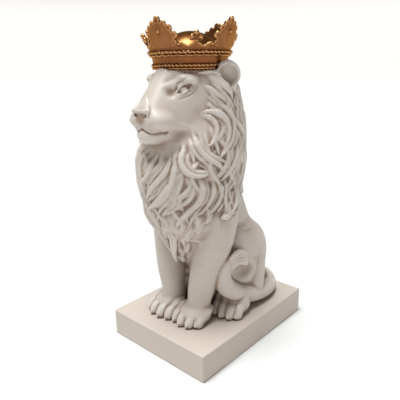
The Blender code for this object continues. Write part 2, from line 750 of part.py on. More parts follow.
# Rows of the lids hold the place along, across and out of the eye, and the radius there
UPPER_LID = (
    (-9.5, -3.6, -1.0, 1.2),
    (-5.5, 1.6, 0.9, 1.4),
    (0, 4.7, 1.6, 1.6),
    (6, 4.0, 0.9, 1.5),
    (12.5, 2.6, -0.8, 1.3),
)
LOWER_LID = (
    (-9.5, -4.0, -1.2, 1.2),
    (-5, -4.3, 0.4, 1.3),
    (0.5, -4.3, 1.2, 1.4),
    (6.5, -2.4, 0.5, 1.3),
    (12.5, 2.2, -0.9, 1.2),
)


def add_eye(clay, side):
    """An almond eye with two lids."""
    mirror = np.array((side, 1, 1))
    frame = EYE_FRAME * mirror
    centre = EYE * mirror

    def placed(rows):
        return [(*(centre + np.array(row[:3]) @ frame), row[3]) for row in rows]

    clay.add(ball(centre + frame[1] * 6.4 - frame[2] * 0.8, (11, 3.2, 2.2), frame=frame), 3)
    clay.cut(ball(centre + frame[2] * 1.4, (10, 5, 2.6), frame=frame), 1.0)
    clay.add(ball(centre - frame[2] * 3.9, (8.2, 6.8, 6.8), frame=frame), 0.2)
    for lid in (UPPER_LID, LOWER_LID):
        clay.add(limb(placed(lid), 14), 0.5)


def add_ear(clay, side):
    """A round ear beside the crown, which is hollow towards the front and the side."""
    frame = np.array(((0.52 * side, 0.84, 0.14), (0.1 * side, -0.13, 0.98), (0.84 * side, -0.52, -0.1)))
    centre = np.array((side * 44, -22, 298.5))
    clay.add(ball(centre, (12, 13, 4.8), frame=frame), 6)
    hollow = centre + frame[2] * 3.2 - frame[0] * 1.4 - frame[1] * 1.0
    clay.cut(ball(hollow, (9.6, 10.8, 5.8), frame=frame), 1.0)


def sculpt_base(step):
    """Body, limbs and head of the lion before its paws, tail, hair and face are worked out."""
    clay = Clay(CLAY_LOW, CLAY_HIGH, step)
    add_trunk(clay)
    for side in SIDES:
        add_haunch(clay, side)
        add_foreleg(clay, side)
    clay.add(loft(MANE_ROWS), 8)
    clay.add(ball((0, -42, 146), (32, 24, 54), (12, 0, 0)), 6)
    add_head(clay)
    return clay


def sculpt_lion(step):
    """The whole lion without its plinth, as clay."""
    clay = sculpt_base(step)
    guide = sculpt_base(step)
    clay.cut(hollows(guide), 2)
    for side in SIDES:
        add_paw(clay, (side * (18 if side > 0 else 21), -46), FORE_TOES[side], 20, 18)
        add_paw(clay, (side * 37, 2), [(side * x, y) for x, y in HIND_TOES], 22, 19)
    add_tail(clay)
    add_face_details(clay)
    for shapes in mane_locks(guide):
        clay.add(shapes, 0.5)
    for side in SIDES:
        add_ear(clay, side)
    return clay


# The crown: radius of the outside of its wall by height
CROWN_WALL = (
    (303, 37.4),
    (307, 37.4),
    (313, 38.2),
    (319, 40.2),
    (322, 41.2),
    (328, 44),
    (336, 47.2),
    (343, 49.4),
    (351, 50.8),
)
CROWN_TURN = 5.5
CROWN_THICK = 2.6
# Round lobes that make half a leaf: distance from its middle, height and radius
LEAF_LOBES = ((0, 346.4, 3.5), (6.3, 343.0, 3.1), (11.6, 339.6, 3.0), (15.2, 333.6, 3.3), (13.5, 327.2, 3))
LEAF_BODY = ((0, 337, 8.5), (5, 337, 6.8), (7.5, 332, 7.6), (5, 328, 8))
TREFOIL = ((0, 334.6, 2.9), (3.9, 331.2, 2.7), (0, 330.5, 2.2))
# Knobs outside the crown, from the middle of a leaf and of a trefoil: distance, height and radius
LEAF_KNOBS = ((0, 336.6, 1.9), (17.6, 325.4, 1.7), (14.9, 326.9, 1.2))
TREFOIL_KNOBS = ((0, 334.6, 2.3), (3.9, 331.2, 2.1), (0, 328.3, 1.7))
# The cords: height, radius of the ring and of the cord
CORDS = ((318.9, 41.1, 1.8), (316.0, 40.0, 1.0), (307.1, 37.7, 1.75), (304.3, 37.4, 1.3))


def crown_shape():
    """The wall with its leaves, the cords round it and the dome inside, as one shape."""
    wall = np.array(CROWN_WALL)

    def outline(leaf, trefoil, radius, z):
        rim = z - (324.6 + 3.2 * np.abs(np.cos(np.pi * trefoil / 20)) ** 1.3)
        result = np.where(np.abs(trefoil) < 30, rim, z - 325)
        for angle, lobes in ((leaf, LEAF_LOBES + LEAF_BODY), (trefoil, TREFOIL)):
            across = np.abs(np.radians(angle) * radius)
            for out, height, size in lobes:
                result = np.minimum(result, np.hypot(across - out, z - height) - size)
        return result

    def distance(x, y, z):
        y = y - CROWN_CENTRE_Y
        reach = np.hypot(x, y)
        turn = np.degrees(np.arctan2(x, -y)) - CROWN_TURN
        leaf = (turn + 45) % 90 - 45
        trefoil = turn % 90 - 45
        radius = np.interp(z, wall[:, 0], wall[:, 1])
        edge = outline(leaf, trefoil, radius, z)
        sheet = np.maximum(reach - radius, radius - CROWN_THICK - reach)
        result = np.maximum(sheet * 0.92, edge)
        for angle, knobs in ((leaf, LEAF_KNOBS), (trefoil, TREFOIL_KNOBS)):
            across = np.abs(np.radians(angle) * radius)
            for out, height, size in knobs:
                knob = np.sqrt((across - out) ** 2 + (z - height) ** 2 + (reach - radius + 0.3) ** 2) - size
                result = np.minimum(result, knob)
        for height, ring, size in CORDS:
            result = np.minimum(result, np.hypot(reach - ring, z - height) - size)
        dome = np.sqrt(reach**2 + (z - 303.5) ** 2) - 36.2
        result = smooth_min(result, dome, 1.0)
        return np.maximum(result, CROWN_SEAT_Z - z)

    return Shape(np.array([-54, -83, CROWN_SEAT_Z]), np.array([54, 25, 351]), distance)


def sculpt_crown(step):
    """The crown as clay, in one piece."""
    clay = Clay((-56, -85, CROWN_SEAT_Z - 2.5 * step), (56, 27, 354), step)
    clay.add(crown_shape())
    return clay


def turned(name, profile, sides):
    """A solid of revolution round the crown's axis. The profile goes up from radius 0 to radius 0."""
    angles = np.arange(sides) * 2 * math.pi / sides
    points = []
    for radius, z in profile[1:-1]:
        points += [(radius * math.cos(a), CROWN_CENTRE_Y + radius * math.sin(a), z) for a in angles]
    rings = len(profile) - 2
    faces = [list(range(sides))[::-1]]
    for ring in range(rings - 1):
        for i in range(sides):
            j = (i + 1) % sides
            low, high = ring * sides, (ring + 1) * sides
            faces.append([low + i, low + j, high + j, high + i])
    faces.append(list(range((rings - 1) * sides, rings * sides)))
    mesh = bpy.data.meshes.new(name)
    mesh.from_pydata([[v * MM for v in p] for p in points], [], faces)
    obj = bpy.data.objects.new(name, mesh)
    bpy.context.scene.collection.objects.link(obj)
    return obj


def plinth_block(name):
    """The plinth, a block with small rounded edges."""
    mesh = bpy.data.meshes.new(name)
    work = bmesh.new()
    bmesh.ops.create_cube(work, size=1.0)
    bmesh.ops.scale(work, vec=Vector((PLINTH_WIDTH, PLINTH_DEPTH, PLINTH_HEIGHT)) * MM, verts=work.verts)
    bmesh.ops.translate(work, vec=(0, 0, PLINTH_HEIGHT / 2 * MM), verts=work.verts)
    bmesh.ops.bevel(work, geom=work.edges, offset=PLINTH_EDGE * MM, segments=2, profile=0.5, affect="EDGES")
    work.to_mesh(mesh)
    work.free()
    obj = bpy.data.objects.new(name, mesh)
    bpy.context.scene.collection.objects.link(obj)
    return obj


def as_cutter(obj):
    """Hides a helper that a Boolean uses, so it isn't a piece of its own."""
    obj.hide_render = True
    obj.display_type = "WIRE"
    return obj


def add_boolean(obj, operation, other):
    modifier = obj.modifiers.new(other.name, "BOOLEAN")
    modifier.operation = operation
    modifier.object = other


def add_decimate(obj, triangles):
    """Thins the mesh to about this many triangles."""
    modifier = obj.modifiers.new("Thin", "DECIMATE")
    modifier.ratio = triangles / (2 * len(obj.data.polygons))


def material(name, colour, metallic, roughness):
    """A plain Principled material."""
    made = bpy.data.materials.new(name)
    made.use_nodes = True
    shader = made.node_tree.nodes["Principled BSDF"]
    shader.inputs["Base Color"].default_value = (*colour, 1)
    shader.inputs["Metallic"].default_value = metallic
    shader.inputs["Roughness"].default_value = roughness
    return made


def make_lion():
    """The lion and its plinth, one casting with a seat cut for the crown."""
    lion = mesh_object("lion_on_plinth", *sculpt_lion(CLAY_STEP).skin())
    add_decimate(lion, LION_TRIANGLES)
    add_boolean(lion, "UNION", as_cutter(plinth_block("plinth_block")))
    add_boolean(lion, "DIFFERENCE", as_cutter(turned("crown_seat", SEAT_PROFILE, 48)))
    lion.data.materials.append(material("white_resin", (0.84, 0.80, 0.76), 0, 0.4))


def make_crown():
    crown = mesh_object("crown", *sculpt_crown(CROWN_STEP).skin())
    add_decimate(crown, CROWN_TRIANGLES)
    crown.data.materials.append(material("gilt", (0.62, 0.36, 0.10), 1, 0.25))


def main():
    for obj in list(bpy.data.objects):
        bpy.data.objects.remove(obj)
    make_lion()
    make_crown()


main()
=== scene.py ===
"""Looks of the seated lion figurine: white cast resin on its plinth, under a gilt crown.

The lion and its crown are sculpted here by the same forms as the solids, on a finer grid: the hair
gets its strands, the face its lids, lips and whisker lines, and the crown its twisted cords.
The lion and its plinth are one casting, so they are one piece. Sculpting is in millimetres, in the
frame's own axes, and every mesh is scaled to metres when it is made.
"""

import itertools
import json
import math
from collections import namedtuple

import bmesh
import bpy
import numpy as np
from mathutils import Euler, Matrix, Vector

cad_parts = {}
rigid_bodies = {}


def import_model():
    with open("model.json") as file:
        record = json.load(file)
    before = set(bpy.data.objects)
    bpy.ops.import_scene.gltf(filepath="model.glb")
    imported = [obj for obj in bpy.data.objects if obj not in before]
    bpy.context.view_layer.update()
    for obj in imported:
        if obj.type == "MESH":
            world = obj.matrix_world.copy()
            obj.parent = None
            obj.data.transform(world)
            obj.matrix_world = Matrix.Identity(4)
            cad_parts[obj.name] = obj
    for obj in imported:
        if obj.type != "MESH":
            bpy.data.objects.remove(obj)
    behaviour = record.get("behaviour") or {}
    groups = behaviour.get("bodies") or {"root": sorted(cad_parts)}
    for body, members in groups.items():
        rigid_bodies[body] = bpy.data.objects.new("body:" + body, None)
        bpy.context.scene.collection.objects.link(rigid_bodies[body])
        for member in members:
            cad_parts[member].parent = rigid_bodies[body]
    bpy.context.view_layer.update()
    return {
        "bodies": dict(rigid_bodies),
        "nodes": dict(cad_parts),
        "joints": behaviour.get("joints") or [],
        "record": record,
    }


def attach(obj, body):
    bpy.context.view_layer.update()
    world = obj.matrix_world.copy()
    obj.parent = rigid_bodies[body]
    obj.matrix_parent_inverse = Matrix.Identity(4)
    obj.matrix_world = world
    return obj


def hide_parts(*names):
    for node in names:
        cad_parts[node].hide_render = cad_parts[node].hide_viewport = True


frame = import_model()

bl_info = {
    "name": "Seated lion figurine",
    "version": (1, 0, 0),
    "blender": (4, 5, 0),
    "location": "3D View > Sidebar > Lion",
    "description": "Sculpts a seated lion on its plinth and its crown, and finishes both",
    "category": "Add Mesh",
}

MM = 0.001

# Sculpting grid, which reaches down into the plinth
CLAY_LOW = (-68.0, -112.0, 24.0)
CLAY_HIGH = (68.0, 94.0, 328.0)
GUIDE_STEP = 1.6
FAR = 50.0
# The part of the clay that holds the planes of the head
HEAD_LOW = (-40, -104, 232)
HEAD_HIGH = (40, -20, 312)

PLINTH_WIDTH = 140.0
PLINTH_DEPTH = 188.0
PLINTH_HEIGHT = 31.0

CROWN_CENTRE_Y = -29.0
CROWN_SEAT_Z = 303.0
# Clearance round the crown, from the axis out: radius and height, and its number of sides
SEAT_SIDES = 96
SEAT_PROFILE = (
    (0, 302.7),
    (39.8, 302.7),
    (40.2, 309),
    (43.6, 315),
    (43.8, 321),
    (53, 336),
    (53, 360),
    (0, 360),
)

SIDES = (-1, 1)

Shape = namedtuple("Shape", "low high distance")


def smooth_min(first, second, blend):
    """The lesser of two distances, with the crease between them filled over the width of the blend."""
    if blend <= 0:
        return np.minimum(first, second)
    near = np.maximum(blend - np.abs(first - second), 0) / blend
    return np.minimum(first, second) - near * near * blend / 4


def ball(centre, radii, tilt=(0, 0, 0), frame=None):
    """An ellipsoid, turned by the angles of tilt, in degrees about X, Y and Z, or along a frame of axes."""
    turn = np.array(Euler([math.radians(angle) for angle in tilt]).to_matrix())
    if frame is not None:
        turn = np.array(frame).T
    centre = np.array(centre, float)
    radii = np.array(radii, float)
    reach = np.sqrt(((turn * radii) ** 2).sum(axis=1))

    def distance(x, y, z):
        offset = (x - centre[0], y - centre[1], z - centre[2])
        scaled = 0
        steep = 0
        for axis in range(3):
            along = sum(offset[i] * turn[i, axis] for i in range(3)) / radii[axis]
            scaled = scaled + along**2
            steep = steep + (along / radii[axis]) ** 2
        scaled = np.sqrt(scaled)
        return scaled * (scaled - 1) / np.sqrt(steep + 1e-9)

    return Shape(centre - reach, centre + reach, distance)


def bar(start, end, start_radius, end_radius):
    """A straight round bar with rounded ends that tapers from one radius to the other."""
    start = np.array(start, float)
    end = np.array(end, float)
    run = end - start
    length_squared = max(run @ run, 1e-9)
    radius = max(start_radius, end_radius)

    def distance(x, y, z):
        dx, dy, dz = x - start[0], y - start[1], z - start[2]
        along = np.clip((dx * run[0] + dy * run[1] + dz * run[2]) / length_squared, 0, 1)
        off = (dx - along * run[0]) ** 2 + (dy - along * run[1]) ** 2 + (dz - along * run[2]) ** 2
        return np.sqrt(off) - (start_radius + along * (end_radius - start_radius))

    return Shape(np.minimum(start, end) - radius, np.maximum(start, end) + radius, distance)


def smooth_path(points, count):
    """Points and values along a Catmull-Rom curve through the rows of points."""
    points = np.array(points, float)
    padded = np.vstack([2 * points[0] - points[1], points, 2 * points[-1] - points[-2]])
    rows = []
    for position in np.linspace(0, len(points) - 1, count):
        first = min(int(position), len(points) - 2)
        t = position - first
        a, b, c, d = padded[first : first + 4]
        rows.append(b + 0.5 * t * (c - a + t * (2 * a - 5 * b + 4 * c - d + t * (3 * (b - c) + d - a))))
    return np.array(rows)


def limb(points, count=12):
    """Bars in a row along a smooth path. Each row of points holds x, y, z and the radius there."""
    path = smooth_path(points, count)
    return [bar(a[:3], b[:3], a[3], b[3]) for a, b in zip(path, path[1:])]


def gem(planes, blend):
    """A form bounded by planes, with its edges rounded.

    Each plane is a point on it and its outward normal.
    """
    planes = [(np.array(point, float), np.array(n, float) / np.linalg.norm(n)) for point, n in planes]

    def distance(x, y, z):
        result = -FAR
        for point, n in planes:
            plane = (x - point[0]) * n[0] + (y - point[1]) * n[1] + (z - point[2]) * n[2]
            result = -smooth_min(-plane, -result, blend)
        return result

    return Shape(np.array(HEAD_LOW), np.array(HEAD_HIGH), distance)


def mirrored(points, side):
    """The points with x multiplied by side, which is 1 for the lion's left and -1 for its right."""
    return [(side * point[0], *point[1:]) for point in points]


class Clay:
    """A block of signed distances on a grid, negative inside the clay."""

    def __init__(self, low, high, step):
        self.low = np.array(low, float)
        self.step = step
        self.axes = [np.arange(a, b + step / 2, step, np.float32) for a, b in zip(low, high)]
        self.field = np.full([len(axis) for axis in self.axes], FAR, np.float32)

    def window(self, low, high, margin):
        """The slices of the grid that cover the box, and the coordinates in them."""
        first = np.floor((np.array(low) - margin - self.low) / self.step).astype(int)
        last = np.ceil((np.array(high) + margin - self.low) / self.step).astype(int) + 1
        slices = tuple(
            slice(max(a, 0), max(min(b, n), 0)) for a, b, n in zip(first, last, self.field.shape)
        )
        x, y, z = (axis[s] for axis, s in zip(self.axes, slices))
        return slices, x[:, None, None], y[None, :, None], z[None, None, :]

    def joined(self, shapes, margin):
        """The distances to several shapes as one, over a window that covers them all."""
        low = np.min([shape.low for shape in shapes], axis=0)
        high = np.max([shape.high for shape in shapes], axis=0)
        whole, *_ = self.window(low, high, margin)
        result = np.full([s.stop - s.start for s in whole], FAR, np.float32)
        for shape in shapes:
            part, x, y, z = self.window(shape.low, shape.high, margin)
            local = tuple(slice(p.start - w.start, p.stop - w.start) for p, w in zip(part, whole))
            result[local] = np.minimum(result[local], shape.distance(x, y, z))
        return whole, result

    def add(self, shapes, blend=0.0):
        """Adds a shape, or several that make one form, and fills the crease round it."""
        shapes = shapes if isinstance(shapes, list) else [shapes]
        where, distances = self.joined(shapes, blend + 2 * self.step)
        self.field[where] = smooth_min(self.field[where], distances, blend)

    def cut(self, shapes, blend=0.0):
        """Takes a shape away, and rounds the edge of the cut."""
        shapes = shapes if isinstance(shapes, list) else [shapes]
        where, distances = self.joined(shapes, blend + 2 * self.step)
        self.field[where] = -smooth_min(-self.field[where], distances, blend)

    def sample(self, points):
        """The distances at any points, read between the samples of the grid."""
        place = (np.asarray(points) - self.low) / self.step
        place = np.clip(place, 0, np.array(self.field.shape) - 1.001)
        first = place.astype(int)
        t = place - first
        total = 0
        for corner in itertools.product((0, 1), repeat=3):
            weight = np.prod([t[..., i] if corner[i] else 1 - t[..., i] for i in range(3)], axis=0)
            index = tuple(first[..., i] + corner[i] for i in range(3))
            total = total + weight * self.field[index]
        return total

    def slope(self, points):
        """The directions that lead straight out of the clay at these points."""
        steps = np.eye(3) * self.step
        rise = np.stack([self.sample(points + s) - self.sample(points - s) for s in steps], axis=-1)
        return rise / np.maximum(np.linalg.norm(rise, axis=-1, keepdims=True), 1e-6)

    def made_simple(self):
        """Closes the clay at the block's sides, and gives back which samples are inside it.

        Samples are filled where the skin would touch itself along an edge.
        """
        for axis in range(3):
            edges = np.moveaxis(self.field, axis, 0)
            edges[0] = edges[-1] = self.step
        inside = self.field < 0
        for _ in range(40):
            fill = np.zeros_like(inside)
            for first, second in itertools.combinations(range(3), 2):
                views = {}
                for a, b in itertools.product((0, 1), repeat=2):
                    slices = [slice(None)] * 3
                    slices[first] = slice(a, inside.shape[first] - 1 + a)
                    slices[second] = slice(b, inside.shape[second] - 1 + b)
                    views[a, b] = tuple(slices)
                one, two, three, four = (inside[views[k]] for k in ((0, 0), (1, 1), (0, 1), (1, 0)))
                fill[views[0, 1]] |= one & two & ~three & ~four
                fill[views[0, 0]] |= three & four & ~one & ~two
            corners = {}
            for corner in itertools.product((0, 1), repeat=3):
                slices = tuple(slice(c, n - 1 + c) for c, n in zip(corner, inside.shape))
                corners[corner] = slices
            count = sum(inside[s].astype(np.int8) for s in corners.values())
            for corner in list(corners)[:4]:
                other = tuple(1 - c for c in corner)
                one, two = inside[corners[corner]], inside[corners[other]]
                neighbour = (1 - corner[0], corner[1], corner[2])
                fill[corners[neighbour]] |= (count == 2) & one & two
                fill[corners[corner]] |= (count == 6) & ~one & ~two
            fill &= ~inside
            if not fill.any():
                break
            inside |= fill
            self.field[fill] = -0.05 * self.step
        return inside

    def skin(self):
        """Points and four-sided faces of the clay's largest surface, by surface nets."""
        inside = self.made_simple()
        shape = np.array(inside.shape)
        corners = list(itertools.product((0, 1), repeat=3))
        count = np.zeros(shape - 1, np.int8)
        for c in corners:
            count += inside[tuple(slice(a, n - 1 + a) for a, n in zip(c, shape))]
        cells = np.argwhere((count > 0) & (count < 8))
        number = np.full(shape - 1, -1, np.int32)
        number[tuple(cells.T)] = np.arange(len(cells))
        values = {c: self.field[tuple((cells + c).T)] for c in corners}
        total = np.zeros((len(cells), 3))
        crossings = np.zeros(len(cells))
        for one in corners:
            for axis in range(3):
                if one[axis]:
                    continue
                two = tuple(v + (i == axis) for i, v in enumerate(one))
                a, b = values[one], values[two]
                crossed = (a < 0) != (b < 0)
                t = np.where(crossed, a / np.where(crossed, a - b, 1), 0)
                for i in range(3):
                    total[:, i] += crossed * (one[i] + (t if i == axis else 0))
                crossings += crossed
        points = self.low + self.step * (cells + total / crossings[:, None])
        faces = []
        for axis in range(3):
            across, up = (axis + 1) % 3, (axis + 2) % 3
            low = [slice(1, n - 1) for n in shape]
            low[axis] = slice(0, shape[axis] - 1)
            high = list(low)
            high[axis] = slice(1, shape[axis])
            a, b = inside[tuple(low)], inside[tuple(high)]
            base = np.argwhere(a != b)
            leaving = a[tuple(base.T)]
            start = np.array([1, 1, 1])
            start[axis] = 0
            base = base + start
            ring = []
            for da, du in ((-1, -1), (0, -1), (0, 0), (-1, 0)):
                cell = base.copy()
                cell[:, across] += da
                cell[:, up] += du
                ring.append(number[tuple(cell.T)])
            ring = np.stack(ring, axis=1)
            faces.append(np.where(leaving[:, None], ring, ring[:, ::-1]))
        faces = np.concatenate(faces)
        return largest_surface(points, faces)


def largest_surface(points, faces):
    """Only the connected surface with the most points, so no crumbs or sealed hollows are left."""
    label = np.arange(len(points))
    while True:
        lowest = label[faces].min(axis=1)
        new = label.copy()
        for corner in range(4):
            np.minimum.at(new, faces[:, corner], lowest)
        new = new[new]
        if (new == label).all():
            break
        label = new
    kept = label == np.bincount(label).argmax()
    number = np.cumsum(kept) - 1
    return points[kept], number[faces[kept[faces[:, 0]]]]


def loft(rows):
    """A form stacked from ovals. Each row holds z, centre y, half width, front depth and back depth."""
    rows = np.array(sorted(rows), float)
    low = (-rows[:, 2].max(), (rows[:, 1] - rows[:, 3]).min(), rows[0, 0])
    high = (rows[:, 2].max(), (rows[:, 1] + rows[:, 4]).max(), rows[-1, 0])

    def distance(x, y, z):
        centre, half, front, back = (np.interp(z, rows[:, 0], rows[:, i]) for i in (1, 2, 3, 4))
        dy = y - centre
        depth = np.where(dy < 0, front, back)
        flat = np.sqrt((x / half) ** 2 + (dy / depth) ** 2)
        steep = np.sqrt((x / half**2) ** 2 + (dy / depth**2) ** 2) + 1e-6
        side = np.maximum(flat * (flat - 1) / steep, -np.minimum(half, depth))
        ends = np.maximum(rows[0, 0] - z, z - rows[-1, 0])
        return np.maximum(side, ends)

    return Shape(np.array(low), np.array(high), distance)


# Where the tips of the toes lie on the plinth, for each side, and for the left hind paw
FORE_TOES = {
    1: ((4.0, -69.0), (14.2, -71.5), (24.0, -69.5), (31.5, -63.0)),
    -1: ((-6.5, -71.0), (-17.0, -73.5), (-28.0, -72.5), (-37.5, -67.0)),
}
HIND_TOES = ((29.5, -28.5), (38.5, -29.5), (47.5, -27.0), (54.0, -21.0))
TAIL_FLUTES = 4


def add_trunk(clay):
    """Back, chest, belly and rump."""
    back = [(0, -8, 205, 34), (0, -6, 178, 36), (0, 7, 142, 37.5), (0, 22, 108, 38.5), (0, 38, 70, 39)]
    clay.add(limb(back))
    clay.add(ball((0, -28, 165), (42, 44, 60)), 10)
    clay.add(limb([(0, -22, 130, 30), (0, -2, 90, 30), (0, 14, 55, 30)]), 12)
    clay.add(ball((0, 44, 52), (42, 38, 30)), 12)
    clay.add(ball((0, -14, 46), (20, 19, 22)), 6)


def add_haunch(clay, side):
    """One thigh, its knee folded up beside the belly, and the heel behind it."""
    clay.add(ball((side * 31, 23, 88), (20.5, 39, 45), (-16, 0, 0)), 8)
    clay.add(ball((side * 33, 3, 98), (18, 27, 36), (12, 0, 0)), 5)
    crease = [(38, -24, 114, 1.5), (43, -12, 129, 2.2), (44, 3, 137, 2.2), (42, 18, 139, 1.2)]
    clay.cut(limb(mirrored(crease, side)), 4)
    hock = [(43, 36, 94, 8), (46, 33, 76, 8.5), (45, 28, 56, 11)]
    clay.add(limb(mirrored(hock, side)), 5)


def add_foreleg(clay, side):
    """Shoulder and one straight foreleg, down to the wrist."""
    shoulder = [(31, -26, 182, 17), (33, -27, 160, 22.5), (32, -31, 132, 22), (29.5, -36, 106, 19)]
    lower = [(25, -41, 82, 16.3), (21, -43, 62, 13.8), (19.5, -43.5, 50, 13), (19.5, -44, 42, 13.5)]
    clay.add(limb(mirrored(shoulder + lower, side), 18), 6)


def add_paw(clay, heel, toes, height, width):
    """A paw from its heel to four toes, each with a knuckle and a claw. Toe points lie on the plinth."""
    heel = np.array(heel, float)
    toes = np.array(toes, float)
    forward = toes.mean(axis=0) - heel
    forward /= np.linalg.norm(forward)
    turn = math.degrees(math.atan2(forward[0], -forward[1]))
    base = (*(heel + forward * 3), PLINTH_HEIGHT + height * 0.5)
    clay.add(ball(base, (width, 17, height * 0.6), (0, 0, turn)), 6)
    for toe in toes:
        root = toe - forward * 27 + (heel - toe + forward * 27) * 0.15
        path = [
            (*root, PLINTH_HEIGHT + height - 6.2, 5.6),
            (*(toe - forward * 19), PLINTH_HEIGHT + height - 6.2, 6.1),
            (*(toe - forward * 13), PLINTH_HEIGHT + height * 0.53, 5.8),
            (*(toe - forward * 8), PLINTH_HEIGHT + height * 0.42, 5.8),
            (*(toe - forward * 5.2), PLINTH_HEIGHT + 5.2, 5.5),
        ]
        clay.add(limb(path, 12), 1.4)
        top, tip = toe - forward * 2.2, toe + forward * 0.3
        clay.add(bar((*top, PLINTH_HEIGHT + 7.4), (*tip, PLINTH_HEIGHT + 4.2), 2.4, 1.8), 0.6)


def add_tail(clay):
    """The tail comes round the left side, rises behind the hind paw and curls back over the thigh."""
    clay.cut(ball((54, -3, 82), (12, 20, 13)), 4)
    clay.cut(limb([(54, 27, 97, 0.8), (54.5, 24, 86, 2.2), (55, 20, 76, 3.0), (55, 16, 68, 2.2)], 10), 2)
    tail = [
        (12, 74, 44, 13),
        (28, 74, 42, 12),
        (41, 62, 41, 11),
        (46, 44, 43, 11),
        (46, 24, 46, 11),
        (45, 6, 52, 10.4),
        (44, -11, 61, 10.2),
        (42.5, -25, 73, 10.5),
        (42.5, -30.5, 87, 9.8),
        (44.5, -29, 100, 8.8),
        (47, -20, 107, 7.0),
        (49, -10, 105, 5.0),
    ]
    clay.add(limb(tail, 30), 2)
    for number in range(TAIL_FLUTES):
        path = [
            (49, -31 + number, 103 - number * 3.6, 1.5),
            (52.6, -25, 110.5 - number * 3.9, 2.6),
            (54, -15, 113.5 - number * 4.1, 2.8),
            (54.6, -5, 108.5 - number * 3.9, 2.6),
            (52, 2.5, 101 - number * 3.0, 1.0),
        ]
        clay.add(limb(path, 12), 0.5)


# The mane under its locks: height of each oval, its centre y, half width, front and back depth
MANE_ROWS = (
    (303, -26, 30, 30, 30),
    (296, -24, 37, 26, 40),
    (284, -24, 42.5, 28, 45),
    (262, -26, 47, 36, 51.5),
    (236, -28, 50, 50, 54.5),
    (212, -29, 51.5, 57.5, 55.5),
    (190, -30, 49, 57, 50),
    (172, -30, 44, 52, 38),
    (158, -32, 45, 49, 26),
    (146, -34, 41, 43, 20),
    (134, -35, 33, 34, 14),
)
MANE_AXIS_Y = -29.0
# How thick the hair is under the locks, how deep the grooves between strands are, and how round a lock
# is in section, from 1 for a sharp roof to 2 for an oval
UNDERCOAT = 0.8
GROOVE_DEPTH = 0.85
ROOF = 1.3
# The lowest height that lock tips reach, by angle round the mane from the front
MANE_EDGE = ((0, 96), (12, 106), (30, 126), (50, 142), (75, 154), (111, 162), (150, 174), (180, 178))
# Angle round the mane and height of points down the edge of the face
HAIRLINE = ((70, 303), (66, 295), (62, 285), (60, 272), (58, 260), (53, 251), (44, 244), (30, 238), (0, 232))
# Fine tufts along each side of the face
FACE_TUFTS = 17
# Rows of small locks, from the top row down: first and last angle, how many on each side, root height
# at the front and at the back, length, half width, thickness, phase of the swing in turns
MANE_TIERS = (
    (80, 178, 11, 301, 299, 52, 7.5, 5.6, 0.10),
    (68, 172, 6, 275, 278, 54, 8.5, 6.0, 0.40),
    (54, 176, 7, 252, 256, 58, 8.8, 6.2, 0.05),
    (6, 172, 8, 230, 234, 60, 8.8, 6.4, 0.50),
    (3, 156, 7, 207, 212, 56, 8.4, 6.2, 0.10),
    (5, 110, 6, 183, 188, 50, 7.4, 5.8, 0.60),
    (3, 62, 5, 156, 162, 44, 6.8, 4.4, 0.20),
    (2, 34, 3, 130, 140, 36, 6.4, 3.8, 0.70),
)
# Main locks on each side, lowest first: angle and height of the root, length, half width, and the
# leans off straight down that the lock takes on its way, towards the back
SIDE_LOCKS = (
    (94, 192, 36, 6.0, (35, -30, -50)),
    (79, 203, 40, 6.0, (20, -5, 5)),
    (67, 201, 44, 6.5, (45, 10, -35, -60)),
    (65, 203, 46, 6.5, (5, -10, -35, -70)),
    (117, 234, 70, 8.5, (40, 15, -20, -20)),
    (140, 240, 74, 9.0, (10, -25, 15, 25)),
    (162, 238, 70, 9.0, (-10, 20, -15, -10)),
    (101, 238, 50, 7.5, (10, -30, -50, -40)),
    (40, 209, 72, 8.5, (60, 5, -40, -45, -20)),
    (91, 262, 46, 7.5, (42, 52, 20)),
    (32, 239, 54, 7.5, (20, -20, 45, 85, 120)),
    (44, 249, 52, 7.5, (15, 25, 60, 30)),
    (69, 276, 72, 8.0, (60, 40, -15, -45, -45)),
    (112, 272, 60, 8.5, (45, 25, -15)),
    (138, 276, 64, 8.5, (25, -15, -25)),
    (163, 272, 64, 8.5, (10, 20, -10)),
    (54, 263, 58, 8.0, (105, 65, 10, -25, -42)),
)
# Main locks of the front, from the lion's right to its left, which lean towards its left
FRONT_LOCKS = (
    (-30, 176, 42, 7.0, (15, 45, 30)),
    (-40, 208, 66, 8.0, (0, 35, 45, 20)),
    (-24, 206, 64, 8.0, (-10, 30, 35, 10)),
    (31, 214, 76, 8.0, (-22, -40, -52, -21)),
    (-46, 234, 64, 8.0, (-20, 20, 45)),
    (-30, 232, 66, 8.0, (-30, -5, 40, 30)),
    (25, 234, 78, 8.0, (12, -12, -42, -60)),
    (19, 230, 66, 7.5, (17, -39, -46, -42)),
    (11, 230, 66, 7.5, (-35, -14, -51, -29, 7)),
    (-3, 232, 66, 7.5, (-50, -19, 30, -10, 16)),
    (-17, 230, 48, 7.0, (-45, 10, 50)),
)
# Hollows between the main locks: angle and height of the upper end, length, lean and radius
HOLLOWS = (
    (75, 254, 24, -10, 2.8),
    (54, 229, 26, 45, 3.2),
    (32, 220, 26, 62, 2.8),
    (10, 204, 26, -50, 2.8),
    (60, 196, 26, -25, 2.6),
    (88, 220, 26, -30, 2.6),
)
# The lock that crosses from the forehead over the root of the ear: x, y, z
EAR_LOCK = ((29, -48, 300), (35, -40, 300), (41, -30, 296), (43, -20, 288), (43, -9, 278), (41, -1, 268))


